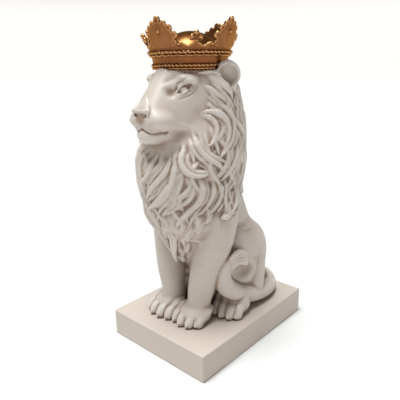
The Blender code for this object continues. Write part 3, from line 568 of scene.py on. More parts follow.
def mane_point(clay, angle, height):
    """Points on the clay at these angles round the mane, in degrees from the front, and heights."""
    # Distances off the axis are tried from outside in, and the first one inside the clay is taken
    turn = np.radians(angle)
    out = np.stack([np.sin(turn), -np.cos(turn), np.zeros_like(turn)], axis=-1)
    base = np.stack([np.zeros_like(turn), np.full_like(turn, MANE_AXIS_Y), height], axis=-1)
    reach = np.arange(90, 8, -0.5)
    along = base[:, None] + out[:, None] * reach[:, None]
    hit = clay.sample(along) < 0
    first = np.where(hit.any(axis=1), hit.argmax(axis=1), len(reach) - 1)
    return base + out * reach[first][:, None]


def comb(guide, angles, heights, lengths, lean, lift, count=12, give=2.2):
    """Paths over the mane from their roots down, which stand off it by lift, from the first to the last.

    lean(t, angles, heights, reach) gives how far the paths lean off straight down, in degrees, as t
    goes from 0 at the roots to 1 at the tips. A path moves out or in by no more than give at a point.
    Gives the points and the normals of every path.
    """
    angles, heights = np.array(angles, float), np.array(heights, float)
    rows = []
    normals = []
    reach = None
    for t in np.linspace(0, 1, count):
        points = mane_point(guide, angles, heights)
        outward = guide.slope(points)
        flat = points[:, :2] - (0, MANE_AXIS_Y)
        found = np.hypot(*flat.T)
        reach = found if reach is None else np.clip(found, reach - give, reach + give)
        points[:, :2] = (0, MANE_AXIS_Y) + flat * (reach / found)[:, None]
        rows.append(points + outward * (lift[0] + (lift[1] - lift[0]) * t**1.2))
        normals.append(outward)
        turn = np.radians(lean(t, angles, heights, reach))
        step = lengths / (count - 1)
        angles = angles + np.degrees(step * np.sin(turn) / reach)
        heights = heights - step * np.cos(turn)
    return list(zip(np.stack(rows, axis=1), np.stack(normals, axis=1)))


def tier_lean(side, swing, phases):
    """The lean of small locks: back from the face, then down in an S, and to the front low down."""
    hair = np.array(HAIRLINE, float)[::-1]

    def lean(t, angles, heights, reach):
        turned = side * angles
        clear = (turned - np.interp(heights, hair[:, 1], hair[:, 0])) * np.pi / 180 * reach
        back = 78 * np.exp(-np.maximum(clear, 0) / 20) * np.clip((heights - 236) / 24, 0, 1)
        front = -24 * np.clip(turned / 60, 0, 1) * np.clip((215 - heights) / 30, 0, 1)
        front = front * np.clip((130 - turned) / 40, 0, 1)
        return side * (back + front + swing * np.sin(2 * np.pi * (phases + 0.95 * t)))

    return lean


def lock(points, normals, width, height, strands=1, root=0.25, roll=0.0):
    """A pointed lock of hair swept along the points, with a ridge along it and grooves between strands.

    Its root has this share of its width, and it is rolled by this many degrees, so that locks overlap.
    """
    count = len(points)
    run = np.gradient(points, axis=0)
    run /= np.linalg.norm(run, axis=1, keepdims=True)
    across = np.cross(run, normals)
    across /= np.linalg.norm(across, axis=1, keepdims=True)
    out = np.cross(across, run)
    turn = math.radians(roll)
    tipped = out * math.cos(turn) - across * math.sin(turn)
    across = across * math.cos(turn) + out * math.sin(turn)
    t = np.linspace(0, 1, count)
    swell = np.minimum(1, root + (1 - root) * t / 0.3) * np.clip(1 - t**2.6, 0, 1) ** 0.75 + 0.05
    widths, heights = width * swell, height * (0.25 + 0.75 * swell)
    deep = GROOVE_DEPTH * np.clip(6 * t, 0, 1) * np.clip(5 * (1.02 - t), 0.2, 1) * (strands > 1)

    def segment(i):
        start, step = points[i], points[i + 1] - points[i]
        squared = max(step @ step, 1e-9)
        reach = max(widths[i], widths[i + 1], heights[i], heights[i + 1])

        def distance(x, y, z):
            dx, dy, dz = x - start[0], y - start[1], z - start[2]
            s = np.clip((dx * step[0] + dy * step[1] + dz * step[2]) / squared, 0, 1)
            dx, dy, dz = dx - s * step[0], dy - s * step[1], dz - s * step[2]

            def along(vectors):
                a, b = vectors[i], vectors[i + 1] - vectors[i]
                return dx * (a[0] + s * b[0]) + dy * (a[1] + s * b[1]) + dz * (a[2] + s * b[2])

            wide = widths[i] + s * (widths[i + 1] - widths[i])
            tall = heights[i] + s * (heights[i + 1] - heights[i])
            least = np.minimum(wide, tall)
            place = along(across) / wide
            rise, ahead = along(tipped) / tall, along(run) / least
            ridged = (np.abs(place) ** ROOF + np.abs(rise) ** ROOF) ** (1 / ROOF)
            groove = 1 - np.abs(np.sin(math.pi * strands * (np.clip(place, -1, 1) + 1) / 2))
            return (np.hypot(ridged, ahead) - 1) * least + (deep[i] + s * (deep[i + 1] - deep[i])) * groove

        low, high = np.minimum(start, points[i + 1]) - reach, np.maximum(start, points[i + 1]) + reach
        return Shape(low, high, distance)

    return [segment(i) for i in range(count - 1)]


def mane_locks(guide, strands):
    """Every lock of the mane as shapes, lowest row first, with that many strands in a main lock."""
    rng = np.random.default_rng(11)
    edge = np.array(MANE_EDGE, float)
    locks = []
    for first, last, number, front, back, length, width, thick, phase in MANE_TIERS[::-1]:
        give, root, spread = (7.0, 0.4, 0.4) if front > 300 else (2.2, 0.2, 1)
        swing = 46 if front > 160 else 16
        for side in SIDES:
            part = (np.arange(number) + 0.5 + rng.uniform(-0.22, 0.22, number)) / number
            angles = first + (last - first) * part
            heights = front + (back - front) * angles / 180 + rng.uniform(-6, 6, number) * spread
            phases = phase + rng.uniform(-0.1, 0.1, number) + np.arange(number) * 0.07
            room = heights - np.interp(angles, edge[:, 0], edge[:, 1])
            lengths = np.clip(room + 5, 16, length * rng.uniform(0.85, 1.2, number))
            lean = tier_lean(side, swing, phases)
            paths = comb(guide, side * angles, heights, lengths, lean, (-2.4, 1.6), give=give)
            for points, normals in paths:
                size = width * rng.uniform(0.85, 1.2)
                roll = side * rng.uniform(-26, 10)
                locks.append(lock(points, normals, size, thick, 3, root, roll))
    for side in SIDES:
        locks += main_locks(guide, SIDE_LOCKS, side, strands, rng)
    locks += main_locks(guide, FRONT_LOCKS, 1, strands, rng)
    hair = np.array(HAIRLINE, float)
    for side in SIDES:
        place = np.arange(FACE_TUFTS) + rng.uniform(-0.25, 0.25, FACE_TUFTS) + 0.3
        place = place / FACE_TUFTS * (len(hair) - 1.3)
        angles, heights = (np.interp(place, np.arange(len(hair)), hair[:, i]) for i in (0, 1))
        lengths = rng.uniform(24, 40, len(place))
        starts = side * (angles - rng.uniform(1, 6, len(place)))
        for path in comb(guide, starts, heights, lengths, tier_lean(side, 14, 0.6), (-1.8, 3.0)):
            size = rng.uniform(3.6, 5.0)
            locks.append(lock(*path, size, 4.0, 2, 0.1, side * rng.uniform(-20, 20)))
        points = smooth_path(mirrored(EAR_LOCK, side), 12)
        locks.append(lock(points, guide.slope(points), 5, 4.4, 3, 0.15))
    return locks


def main_locks(guide, rows, side, strands, rng):
    """The main locks of these rows, each over two smaller ones that part from it towards the tip."""
    angles, heights, lengths, widths = (np.array([row[i] for row in rows], float) for i in range(4))
    locks = []
    for apart, share in ((-1, 0.78), (1, 0.88), (0, 1)):
        starts = side * (angles + np.degrees(apart * 0.6 * widths / 48))
        thick = 7.6 - 1.6 * abs(apart)

        def lean(t, *_):
            leans = [np.interp(t, np.linspace(0, 1, len(row[4])), row[4]) for row in rows]
            return side * (np.array(leans) + apart * 14 * t)

        paths = comb(guide, starts, heights - 3 * abs(apart), lengths * share, lean, (-1.8, 2.2), 14)
        for path, width in zip(paths, widths):
            size, number = (width, strands) if apart == 0 else (width * 0.62, 2)
            locks.append(lock(*path, size, thick, number, 0.14, side * rng.uniform(-18, 4)))
    return locks


def hollows(guide):
    """Bars that are cut from the mane between its main locks."""
    bars = []
    for side in SIDES:
        angles, heights, lengths, leans, radii = (np.array(column, float) for column in zip(*HOLLOWS))
        for (points, _), radius in zip(
            comb(guide, side * angles, heights, lengths, lambda *_: side * leans, (0, 0), 6), radii
        ):
            bars += [bar(a, b, radius, radius) for a, b in zip(points, points[1:])]
    return bars


def skin_point(clay, point, out, lift=0.0):
    """The place where a line through the point along out meets the clay, raised off it by lift."""
    line = np.array(point) + np.array(out) * np.arange(12, -40, -0.4)[:, None]
    found = line[(clay.sample(line) < 0).argmax()]
    return found + clay.slope(found[None])[0] * lift


def skin_line(clay, points, out, count=12):
    """A bar laid along the clay. Each row of points holds x, y, z, how far it stands off, and its radius."""
    path = [(*skin_point(clay, p[:3], out, p[3]), p[4]) for p in smooth_path(points, count)]
    return [bar(a[:3], b[:3], a[3], b[3]) for a, b in zip(path, path[1:])]


def face_line(clay, side, rows, count=12):
    """A bar laid along the front of the face. Each row holds x, z, how far it stands off, and its radius."""
    points = [(side * x, FACE_FRONT_Y, z, lift, radius) for x, z, lift, radius in rows]
    return skin_line(clay, points, (0, -1, 0), count)


# Where the lines on the front of the face start from, before they are laid on it
FACE_FRONT_Y = -98.0
WHISKER_LINES = 5
# The planes of the face: a point of each and its outward normal, for the lion's left side
FACE_PLANES = (
    ((0, -98.5, 268), (0, -0.783, 0.622)),
    ((24, -64.5, 285.5), (0.66, -0.63, 0.40)),
    ((34, -57, 279), (0.90, -0.425, -0.10)),
    ((36, -49, 294), (0.693, -0.489, 0.530)),
    ((0, -100, 256), (0, -1, 0)),
    ((0, -86, 234), (0, -0.25, -0.97)),
    ((25, -70, 240), (0.6, -0.3, -0.74)),
    ((0, -22, 290), (0, 1, 0)),
)
# The planes of the broad bridge and muzzle, in the same way
MUZZLE_PLANES = (
    ((0, -98.5, 268), (0, -0.783, 0.622)),
    ((11.5, -98, 268), (0.86, -0.306, 0.41)),
    ((0, -100, 256), (0, -1, 0)),
    ((0, -86, 251), (0, -0.25, -0.97)),
    ((0, -56, 280), (0, 1, 0)),
)
# The nose, and the recess under its rim
NOSE_PLANES = (
    ((0, -99.4, 268.2), (0, -0.783, 0.622)),
    ((0, -100.2, 266), (0, -1, -0.16)),
    ((12.9, -99, 267.4), (0.76, 0.05, -0.64)),
    ((12.9, -99, 267.4), (0.72, 0.62, 0.3)),
    ((0, -88, 262), (0, 1, 0)),
)
RECESS_PLANES = (
    ((0, -98, 266.3), (0, 0.3, 0.95)),
    ((11.4, -99, 267), (0.761, 0, -0.648)),
    ((0, -98.8, 262), (0, 1, 0)),
)
# Painted shade on the front of the nose, tinted darker as a hollow is: x, y, z, radius and depth of the tint
NOSE_PAINTED_SHADE = (0, -101, 262, 10.5, 0.6)


def both_sides(planes):
    """The planes with their mirror images."""
    return [(mirrored([point], side)[0], mirrored([n], side)[0]) for point, n in planes for side in SIDES]


def add_head(clay):
    """Skull, and the face with its flat bridge, sloping sides, muzzle and chin."""
    clay.add(ball((0, -34, 276), (38, 34, 38)), 6)
    clay.add(gem(both_sides(FACE_PLANES), 7), 4)
    clay.add(gem(both_sides(MUZZLE_PLANES), 7), 7)
    for side in SIDES:
        clay.add(ball((side * 11.8, -84, 257), (12, 13.4, 8.6), (-8, 0, side * 22)), 6)
        clay.add(ball((side * 25, -60, 295), (9, 5, 3.6), (0, side * 12, side * 34)), 6)
        clay.cut(bar((side * 17.6, -75.2, 284), (side * 14.5, -76.6, 296), 3.4, 3.0), 6)
    clay.add(ball((0, -85, 243), (12, 12.8, 8.5), (8, 0, 0)), 4)


def add_face_details(clay):
    """Nose, mouth, whisker lines and eyes."""
    clay.add(gem(both_sides(NOSE_PLANES), 1.5), 1.5)
    clay.cut(gem(both_sides(RECESS_PLANES), 0.5), 0.5)
    clay.cut(limb([(0, -99.5, 257, 0.7), (0, -99.6, 250, 1.1)], 4), 0.6)
    for side in SIDES:
        lips = [(0, 250.2, 0.2, 1.2), (6, 247.4, 0.1, 1.3), (11, 246, 0, 1.3), (15.5, 246, 0, 1.4)]
        clay.cut(face_line(clay, side, [*lips, (18.4, 246.4, -0.4, 1.8)]), 0.8)
        clay.cut(bar((side * 5, -99, 261.5), (side * 8.5, -97, 264), 1.3, 1.1), 0.8)
        for number in range(WHISKER_LINES):
            low = 2.9 * number
            line = [
                (7 + 0.5 * number, 262 - low, 0.5, 0.4),
                (12.5, 261 - low, 0.2, 0.7),
                (19.5, 258.4 - low, 0.4, 0.4),
            ]
            clay.cut(face_line(clay, side, line, 8), 0.6)
        add_eye(clay, side)


# An eye: its centre, and the directions along it, across it and out of it, for the lion's left side
EYE = np.array((24.0, -64.2, 285.8))
EYE_FRAME = np.array(((0.569, 0.772, 0.285), (-0.488, 0.040, 0.868), (0.660, -0.630, 0.400)))
# Rows of the lids hold the place along, across and out of the eye, and the radius there
UPPER_LID = (
    (-9.5, -3.8, -0.9, 0.5),
    (-5.5, 1.2, 0.5, 0.8),
    (-0.5, 4.0, 1.2, 1.1),
    (5, 3.6, 0.8, 1.0),
    (12, 2.4, -0.6, 0.6),
)
LOWER_LID = (
    (-9.5, -4.0, -1.0, 0.5),
    (-5, -3.6, 0.2, 0.6),
    (0, -3.4, 0.7, 0.7),
    (5, -1.8, 0.3, 0.6),
    (11.5, 2.0, -0.8, 0.5),
)
UPPER_FOLD = ((-8.5, 1.6, 0.3, 0.6), (-4, 6.2, 0.0, 0.9), (4, 7.0, 0.0, 0.9), (12.5, 5.0, 0.4, 0.6))
LOWER_FOLD = ((-8, -7.8, 0.4, 0.6), (-3, -7.8, 0.3, 0.8), (5, -6.8, 0.3, 0.8), (11, -3.8, 0.5, 0.6))


def add_eye(clay, side):
    """An almond eye with two lids, and a fold above and below them."""
    mirror = np.array((side, 1, 1))
    frame = EYE_FRAME * mirror
    centre = EYE * mirror

    def placed(rows):
        return [(*(centre + np.array(row[:3]) @ frame), row[3]) for row in rows]

    def laid(rows):
        points = [(*(centre + a * frame[0] + b * frame[1]), *rest) for a, b, *rest in rows]
        return skin_line(clay, points, frame[2])

    clay.add(ball(centre + frame[1] * 7.6 - frame[2] * 0.6, (14, 3.2, 2.4), frame=frame), 4)
    clay.cut(ball(centre + frame[2] * 0.9, (9, 4, 3.4), frame=frame), 1.0)
    clay.add(ball(centre - frame[2] * 5.4, (6.4, 5.6, 6.0), frame=frame), 0.1)
    for lid in (UPPER_LID, LOWER_LID):
        clay.add(limb(placed(lid), 14), 0.5)
    for fold in (UPPER_FOLD, LOWER_FOLD):
        clay.cut(laid(fold), 0.8)


# An ear: its centre, and the directions across it, up it and out of it, for the lion's left side
EAR = np.array((44, -22, 298.5))
EAR_FRAME = np.array(((0.52, 0.84, 0.14), (0.1, -0.13, 0.98), (0.84, -0.52, -0.1)))


def add_ear(clay, side):
    """A round ear beside the crown, which is hollow towards the front and the side."""
    mirror = np.array((side, 1, 1))
    frame = EAR_FRAME * mirror
    centre = EAR * mirror
    clay.add(ball(centre, (12, 13, 4.8), frame=frame), 6)
    hollow = centre + frame[2] * 3.2 - frame[0] * 1.4 - frame[1] * 1.0
    clay.cut(ball(hollow, (9.6, 10.8, 5.8), frame=frame), 1.0)


def sculpt_base(step):
    """Body, limbs and head of the lion before its paws, tail, hair and face are worked out."""
    clay = Clay(CLAY_LOW, CLAY_HIGH, step)
    add_trunk(clay)
    for side in SIDES:
        add_haunch(clay, side)
        add_foreleg(clay, side)
    clay.add(loft(MANE_ROWS), 8)
    clay.add(ball((0, -42, 146), (32, 24, 54), (12, 0, 0)), 6)
    add_head(clay)
    return clay


def sculpt_lion(step, strands):
    """The whole lion without its plinth, as clay."""
    guide = sculpt_base(GUIDE_STEP)
    clay = sculpt_base(step)
    coat = [(z, y, *(size + UNDERCOAT for size in sizes)) for z, y, *sizes in MANE_ROWS]
    clay.add(loft(coat), 6)
    clay.cut(hollows(guide), 2)
    for side in SIDES:
        add_paw(clay, (side * (18 if side > 0 else 21), -46), FORE_TOES[side], 20, 18)
        add_paw(clay, (side * 38, 0), [(side * x, y) for x, y in HIND_TOES], 26, 19)
    add_tail(clay)
    add_face_details(clay)
    for shapes in mane_locks(guide, strands):
        clay.add(shapes, 0.5)
    for side in SIDES:
        add_ear(clay, side)
    return clay


# The crown: radius of the outside of its wall by height
CROWN_WALL = (
    (303, 37.4),
    (307, 37.4),
    (313, 38.2),
    (319, 40.2),
    (322, 41.2),
    (328, 44),
    (336, 47.2),
    (343, 49.4),
    (351, 50.8),
)
# How far the middle of the front leaf is turned off the front, and how thick the wall is
CROWN_TURN = 5.5
CROWN_THICK = 2.6
# Round lobes that make half a leaf: distance from its middle, height and radius
LEAF_LOBES = ((0, 346.4, 3.5), (6.3, 343.0, 3.1), (11.6, 339.6, 3.0), (15.2, 333.6, 3.3), (13.5, 327.2, 3))
LEAF_BODY = ((0, 337, 8.5), (5, 337, 6.8), (7.5, 332, 7.6), (5, 328, 8))
TREFOIL = ((0, 334.6, 2.9), (3.9, 331.2, 2.7), (0, 330.5, 2.2))
# Knobs outside the crown, from the middle of a leaf and of a trefoil: distance, height and radius
LEAF_KNOBS = ((0, 336.6, 1.9), (17.6, 325.4, 1.7), (14.9, 326.9, 1.2))
TREFOIL_KNOBS = ((0, 334.6, 2.3), (3.9, 331.2, 2.1), (0, 328.3, 1.7))
# The cords: height, radius of the ring and of the cord, twists, and how deep they are
CORDS = (
    (318.9, 41.1, 1.5, 60, 0.34),
    (316.0, 40.0, 0.8, 30, 0.25),
    (307.1, 37.7, 1.45, 58, 0.34),
    (304.3, 37.4, 1.0, 58, 0.2),
)


def crown_shape():
    """The wall with its leaves, the cords round it and the dome inside, as one shape."""
    wall = np.array(CROWN_WALL)

    def outline(leaf, trefoil, radius, z):
        rim = z - (324.6 + 3.2 * np.abs(np.cos(np.pi * trefoil / 20)) ** 1.3)
        result = np.where(np.abs(trefoil) < 30, rim, z - 325)
        for angle, lobes in ((leaf, LEAF_LOBES + LEAF_BODY), (trefoil, TREFOIL)):
            across = np.abs(np.radians(angle) * radius)
            for out, height, size in lobes:
                result = np.minimum(result, np.hypot(across - out, z - height) - size)
        return result

    def distance(x, y, z):
        y = y - CROWN_CENTRE_Y
        reach = np.hypot(x, y)
        turn = np.degrees(np.arctan2(x, -y)) - CROWN_TURN
        leaf = (turn + 45) % 90 - 45
        trefoil = turn % 90 - 45
        radius = np.interp(z, wall[:, 0], wall[:, 1])
        edge = outline(leaf, trefoil, radius, z)
        bead = 0.45 * np.exp(-(((edge + 1.0) / 0.8) ** 2)) * (z > 320)
        sheet = np.maximum(reach - radius - bead, radius - CROWN_THICK - reach)
        result = np.maximum(sheet * 0.92, edge)
        for angle, knobs in ((leaf, LEAF_KNOBS), (trefoil, TREFOIL_KNOBS)):
            across = np.abs(np.radians(angle) * radius)
            for out, height, size in knobs:
                knob = np.sqrt((across - out) ** 2 + (z - height) ** 2 + (reach - radius + 0.3) ** 2) - size
                result = np.minimum(result, knob)
        for height, ring, size, twists, depth in CORDS:
            off, rise = reach - ring, z - height
            twist = depth * np.cos(np.radians(turn) * twists + np.arctan2(rise, off))
            result = np.minimum(result, (np.hypot(off, rise) - size - twist) * 0.9)
        dome = np.sqrt(reach**2 + (z - 303.5) ** 2) - 36.2
        result = smooth_min(result, dome, 1.0)
        return np.maximum(result, CROWN_SEAT_Z - z)

    return Shape(np.array([-54, -83, CROWN_SEAT_Z]), np.array([54, 25, 351]), distance)


def sculpt_crown(step):
    """The crown as clay, in one piece."""
    clay = Clay((-56, -85, CROWN_SEAT_Z - 2.5 * step), (56, 27, 354), step)
    clay.add(crown_shape())
    return clay


def new_object(name, mesh):
    """An object with this mesh or data, linked to the scene."""
    obj = bpy.data.objects.new(name, mesh)
    bpy.context.scene.collection.objects.link(obj)
    return obj


def clay_object(name, clay):
    """The skin of the clay as an object."""
    points, faces = clay.skin()
    mesh = bpy.data.meshes.new(name)
    mesh.vertices.add(len(points))
    mesh.vertices.foreach_set("co", (points * MM).astype(np.float32).ravel())
    mesh.loops.add(faces.size)
    mesh.loops.foreach_set("vertex_index", faces.astype(np.int32).ravel())
    mesh.polygons.add(len(faces))
    mesh.polygons.foreach_set("loop_start", np.arange(0, faces.size, 4, dtype=np.int32))
    mesh.update(calc_edges=True)
    return new_object(name, mesh)


def plinth_block(edge):
    """The plinth, a block with small rounded edges."""
    mesh = bpy.data.meshes.new("plinth_block")
    work = bmesh.new()
    bmesh.ops.create_cube(work, size=1.0)
    bmesh.ops.scale(work, vec=Vector((PLINTH_WIDTH, PLINTH_DEPTH, PLINTH_HEIGHT)) * MM, verts=work.verts)
    bmesh.ops.translate(work, vec=(0, 0, PLINTH_HEIGHT / 2 * MM), verts=work.verts)
    bmesh.ops.bevel(work, geom=work.edges, offset=edge, segments=4, profile=0.5, affect="EDGES")
    work.to_mesh(mesh)
    work.free()
    return new_object("plinth_block", mesh)


def turned(name, profile, sides):
    """A solid of revolution round the crown's axis. The profile goes up from radius 0 to radius 0."""
    angles = np.arange(sides) * 2 * math.pi / sides
    points = []
    for radius, z in profile[1:-1]:
        points += [(radius * math.cos(a), CROWN_CENTRE_Y + radius * math.sin(a), z) for a in angles]
    rings = len(profile) - 2
    faces = [list(range(sides))[::-1]]
    for ring in range(rings - 1):
        for i in range(sides):
            j = (i + 1) % sides
            low, high = ring * sides, (ring + 1) * sides
            faces.append([low + i, low + j, high + j, high + i])
    faces.append(list(range((rings - 1) * sides, rings * sides)))
    mesh = bpy.data.meshes.new(name)
    mesh.from_pydata([[v * MM for v in p] for p in points], [], faces)
    return new_object(name, mesh)


def thinned(obj, triangles):
    """Thins the mesh where it is flat, to at most this many triangles."""
    modifier = obj.modifiers.new("Thin", "DECIMATE")
    modifier.ratio = min(1.0, triangles / (2 * len(obj.data.polygons)))
    applied(obj)


def joined(obj, operation, other):
    """Adds the other object's solid to this one, or cuts it away, and removes the other."""
    modifier = obj.modifiers.new(other.name, "BOOLEAN")
    modifier.operation = operation
    modifier.object = other
    modifier.solver = "MANIFOLD"
    applied(obj)
    bpy.data.objects.remove(other)


def applied(obj):
    """Applies the modifiers, so that the mesh itself holds the shape."""
    bpy.context.view_layer.update()
    shown = obj.evaluated_get(bpy.context.evaluated_depsgraph_get())
    mesh = bpy.data.meshes.new_from_object(shown)
    obj.modifiers.clear()
    mesh.materials.clear()
    obj.data = mesh


def fullness(inside, reach):
    """The share of clay round every sample, within this many samples each way, smoothed."""
    share = inside.astype(np.float32)
    for axis in (0, 1, 2, 0, 1, 2):
        share = np.moveaxis(share, axis, 0)
        total = np.concatenate([np.zeros((1, *share.shape[1:]), np.float32), np.cumsum(share, axis=0)])
        index = np.arange(len(share))
        high = total[np.minimum(index + reach + 1, len(share))]
        share = np.moveaxis((high - total[np.maximum(index - reach, 0)]) / (2 * reach + 1), 0, axis)
    return share


def mark_relief(obj, clay, reaches, shade_spots=()):
    """Stores how hollow the surface is at each point, at a small and a large scale, from -1 to 1, as the
    mask of painted shade and highlight.

    A shade spot is a place of painted shade, tinted as a hollow is: its x, y, z, radius and depth.
    """
    points = np.empty(len(obj.data.vertices) * 3, np.float32)
    obj.data.vertices.foreach_get("co", points)
    points = points.reshape(-1, 3) / MM
    inside = clay.field < 0
    inside[:, :, clay.axes[2] < PLINTH_HEIGHT] = True
    probe = Clay(clay.low, clay.low, clay.step)
    for name, reach in reaches.items():
        probe.field = fullness(inside, max(1, round(reach / clay.step)))
        values = np.clip((probe.sample(points) - 0.5) * 3, -1, 1)
        values[points[:, 2] < PLINTH_HEIGHT + 0.5] = 0
        # Painted shade: each spot is tinted darker as if it were a hollow
        for *place, radius, depth in shade_spots:
            near = np.linalg.norm(points - place, axis=1) / radius
            values += depth * np.clip(1.6 * (1 - near), 0, 1)
        attribute = obj.data.attributes.new(name, "FLOAT", "POINT")
        attribute.data.foreach_set("value", values.astype(np.float32))


def stands_for(obj, node):
    """The piece rides on the body and stands for its CAD node, which is hidden."""
    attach(obj, "root")
    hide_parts(node)


def node_maker(tree):
    """A function that adds a node, sets its inputs and options, and gives it back."""

    def add(kind, inputs=None, **options):
        node = tree.nodes.new(kind)
        for name, value in options.items():
            setattr(node, name, value)
        for name, value in (inputs or {}).items():
            if isinstance(value, bpy.types.NodeSocket):
                tree.links.new(value, node.inputs[name])
            else:
                node.inputs[name].default_value = value
        return node

    return add


def cast_surface_group():
    """Node group for a cast surface: soft blotches, a fine skin, painted shade in the hollows of the relief
    and painted highlight on its ridges.
    """
    name = "Cast surface"
    if name in bpy.data.node_groups:
        return bpy.data.node_groups[name]
    group = bpy.data.node_groups.new(name, "ShaderNodeTree")
    for socket, kind, default in (
        ("Blotch scale", "NodeSocketFloat", 20.0),
        ("Skin scale", "NodeSocketFloat", 900.0),
        ("Wide hollows", "NodeSocketFloat", 0.5),
        ("Fine hollows", "NodeSocketFloat", 0.5),
    ):
        group.interface.new_socket(socket, in_out="INPUT", socket_type=kind).default_value = default
    for socket in ("Hollow", "Ridge", "Blotch", "Height"):
        group.interface.new_socket(socket, in_out="OUTPUT", socket_type="NodeSocketFloat")
    add = node_maker(group)
    given = add("NodeGroupInput").outputs
    place = add("ShaderNodeTexCoord").outputs["Object"]
    blotch = add("ShaderNodeTexNoise", {"Vector": place, "Scale": given["Blotch scale"], "Detail": 3.0})
    skin = add("ShaderNodeTexNoise", {"Vector": place, "Scale": given["Skin scale"], "Detail": 2.0})
    wide = add("ShaderNodeAttribute", attribute_name="wide_relief").outputs["Fac"]
    fine = add("ShaderNodeAttribute", attribute_name="fine_relief").outputs["Fac"]
    wide_part = add("ShaderNodeMath", {0: wide, 1: given["Wide hollows"]}, operation="MULTIPLY").outputs[0]
    fine_part = add("ShaderNodeMath", {0: fine, 1: given["Fine hollows"]}, operation="MULTIPLY").outputs[0]
    relief = add("ShaderNodeMath", {0: wide_part, 1: fine_part}, operation="ADD").outputs[0]
    # Painted shade goes where the relief is hollow, and painted highlight where it stands out
    hollow = add("ShaderNodeMath", {0: relief, 1: 1.0}, operation="MULTIPLY", use_clamp=True).outputs[0]
    ridge = add("ShaderNodeMath", {0: relief, 1: -1.0}, operation="MULTIPLY", use_clamp=True).outputs[0]
    out = add("NodeGroupOutput")
    for socket, value in (
        ("Hollow", hollow),
        ("Ridge", ridge),
        ("Blotch", blotch.outputs["Fac"]),
        ("Height", skin.outputs["Fac"]),
    ):
        group.links.new(value, out.inputs[socket])
    return group


def cast_material(name, finish, metallic):
    """A cast material whose colour and gloss change from its ridges to its hollows, with painted highlight
    on the ridges and painted shade in the hollows.
    """
    made = bpy.data.materials.new(name)
    made.use_nodes = True
    tree = made.node_tree
    tree.nodes.clear()
    add = node_maker(tree)
    surface = add("ShaderNodeGroup", node_tree=cast_surface_group())
    surface.inputs["Blotch scale"].default_value = finish.blotch_scale
    surface.inputs["Wide hollows"].default_value = finish.wide_hollows
    surface.inputs["Fine hollows"].default_value = finish.fine_hollows
    marks = surface.outputs

    def mixed(first, second, factor):
        node = add("ShaderNodeMix", data_type="RGBA")
        for socket, value in (("Factor_Float", factor), ("A_Color", first), ("B_Color", second)):
            socket = next(s for s in node.inputs if s.identifier == socket)
            if isinstance(value, bpy.types.NodeSocket):
                tree.links.new(value, socket)
            else:
                socket.default_value = value
        return next(s for s in node.outputs if s.identifier == "Result_Color")

    body = mixed((*finish.colour, 1), (*finish.blotch_colour, 1), marks["Blotch"])
    # Painted highlight: the ridges are tinted lighter, towards the ridge colour
    highlighted = mixed(body, (*finish.ridge_highlight_colour, 1), marks["Ridge"])
    # Painted shade: the hollows are tinted darker, towards the hollow colour
    colour = mixed(highlighted, (*finish.hollow_shade_colour, 1), marks["Hollow"])
    rough = add(
        "ShaderNodeMapRange",
        {"Value": marks["Blotch"], "From Min": 0.3, "From Max": 0.7,
         "To Min": finish.roughness - 0.04, "To Max": finish.roughness + 0.06},
    ).outputs["Result"]
    duller = {0: marks["Hollow"], 1: 0.25, 2: rough}
    rough = add("ShaderNodeMath", duller, operation="MULTIPLY_ADD").outputs[0]
    bump = add("ShaderNodeBump", {"Height": marks["Height"], "Strength": 0.12, "Distance": 0.0002})
    shader = add(
        "ShaderNodeBsdfPrincipled",
        {"Base Color": colour, "Roughness": rough, "Metallic": metallic, "Normal": bump.outputs["Normal"],
         "Specular Tint": (1.0, 1 - 0.25 * metallic, 1 - 0.5 * metallic, 1)},
    )
    add("ShaderNodeOutputMaterial", {"Surface": shader.outputs["BSDF"]})
    return made


def colour_property(name, description, default):
    """A setting that holds a colour."""
    return bpy.props.FloatVectorProperty(
        name=name, description=description, default=default, subtype="COLOR", size=3, min=0, max=1
    )


def share_property(name, description, default):
    """A setting that holds a share or a strength."""
    return bpy.props.FloatProperty(
        name=name, description=description, default=default, min=0, max=3, subtype="FACTOR"
    )


class ResinFinish(bpy.types.PropertyGroup):
    """Finish of the white resin casting."""

    colour: colour_property("Resin", "Colour of the resin", (0.545, 0.47, 0.41))
    blotch_colour: colour_property("Blotches", "Colour of the faint blotches", (0.53, 0.45, 0.39))
    # Painted highlight: the ridges are tinted lighter, towards this colour
    ridge_highlight_colour: colour_property("Ridges", "Colour along worn ridges", (0.60, 0.54, 0.49))
    # Painted shade: the hollows of the carving are tinted towards this colour, by the two strengths below
    hollow_shade_colour: colour_property("Hollows", "Colour deep in the carving", (0.30, 0.215, 0.165))
    blotch_scale: bpy.props.FloatProperty(name="Blotch scale", description="Blotches per metre", default=22)
    wide_hollows: share_property("Wide hollows", "How much the wide hollows are tinted", 1.1)
    fine_hollows: share_property("Fine hollows", "How much the fine hollows are tinted", 2.1)
    roughness: share_property("Roughness", "Roughness of the satin surface", 0.42)


class GiltFinish(bpy.types.PropertyGroup):
    """Finish of the gilt casting."""

    colour: colour_property("Gilt", "Colour of the gilt surface", (0.29, 0.105, 0.034))
    blotch_colour: colour_property("Blotches", "Colour where the gilt is thin", (0.15, 0.055, 0.024))
    # Painted highlight: the raised edges are tinted bright, towards this colour
    ridge_highlight_colour: colour_property("Ridges", "Colour of rubbed, bright edges", (0.80, 0.45, 0.19))
    # Painted shade: the hollows of the relief are tinted towards this colour, by the two strengths below
    hollow_shade_colour: colour_property("Hollows", "Colour deep in the relief", (0.12, 0.05, 0.03))
    blotch_scale: bpy.props.FloatProperty(name="Blotch scale", description="Blotches per metre", default=45)
    wide_hollows: share_property("Wide hollows", "How much the wide hollows are tinted", 0.12)
    fine_hollows: share_property("Fine hollows", "How much the fine hollows are tinted", 0.8)
    roughness: share_property("Roughness", "Roughness of the gilt", 0.3)


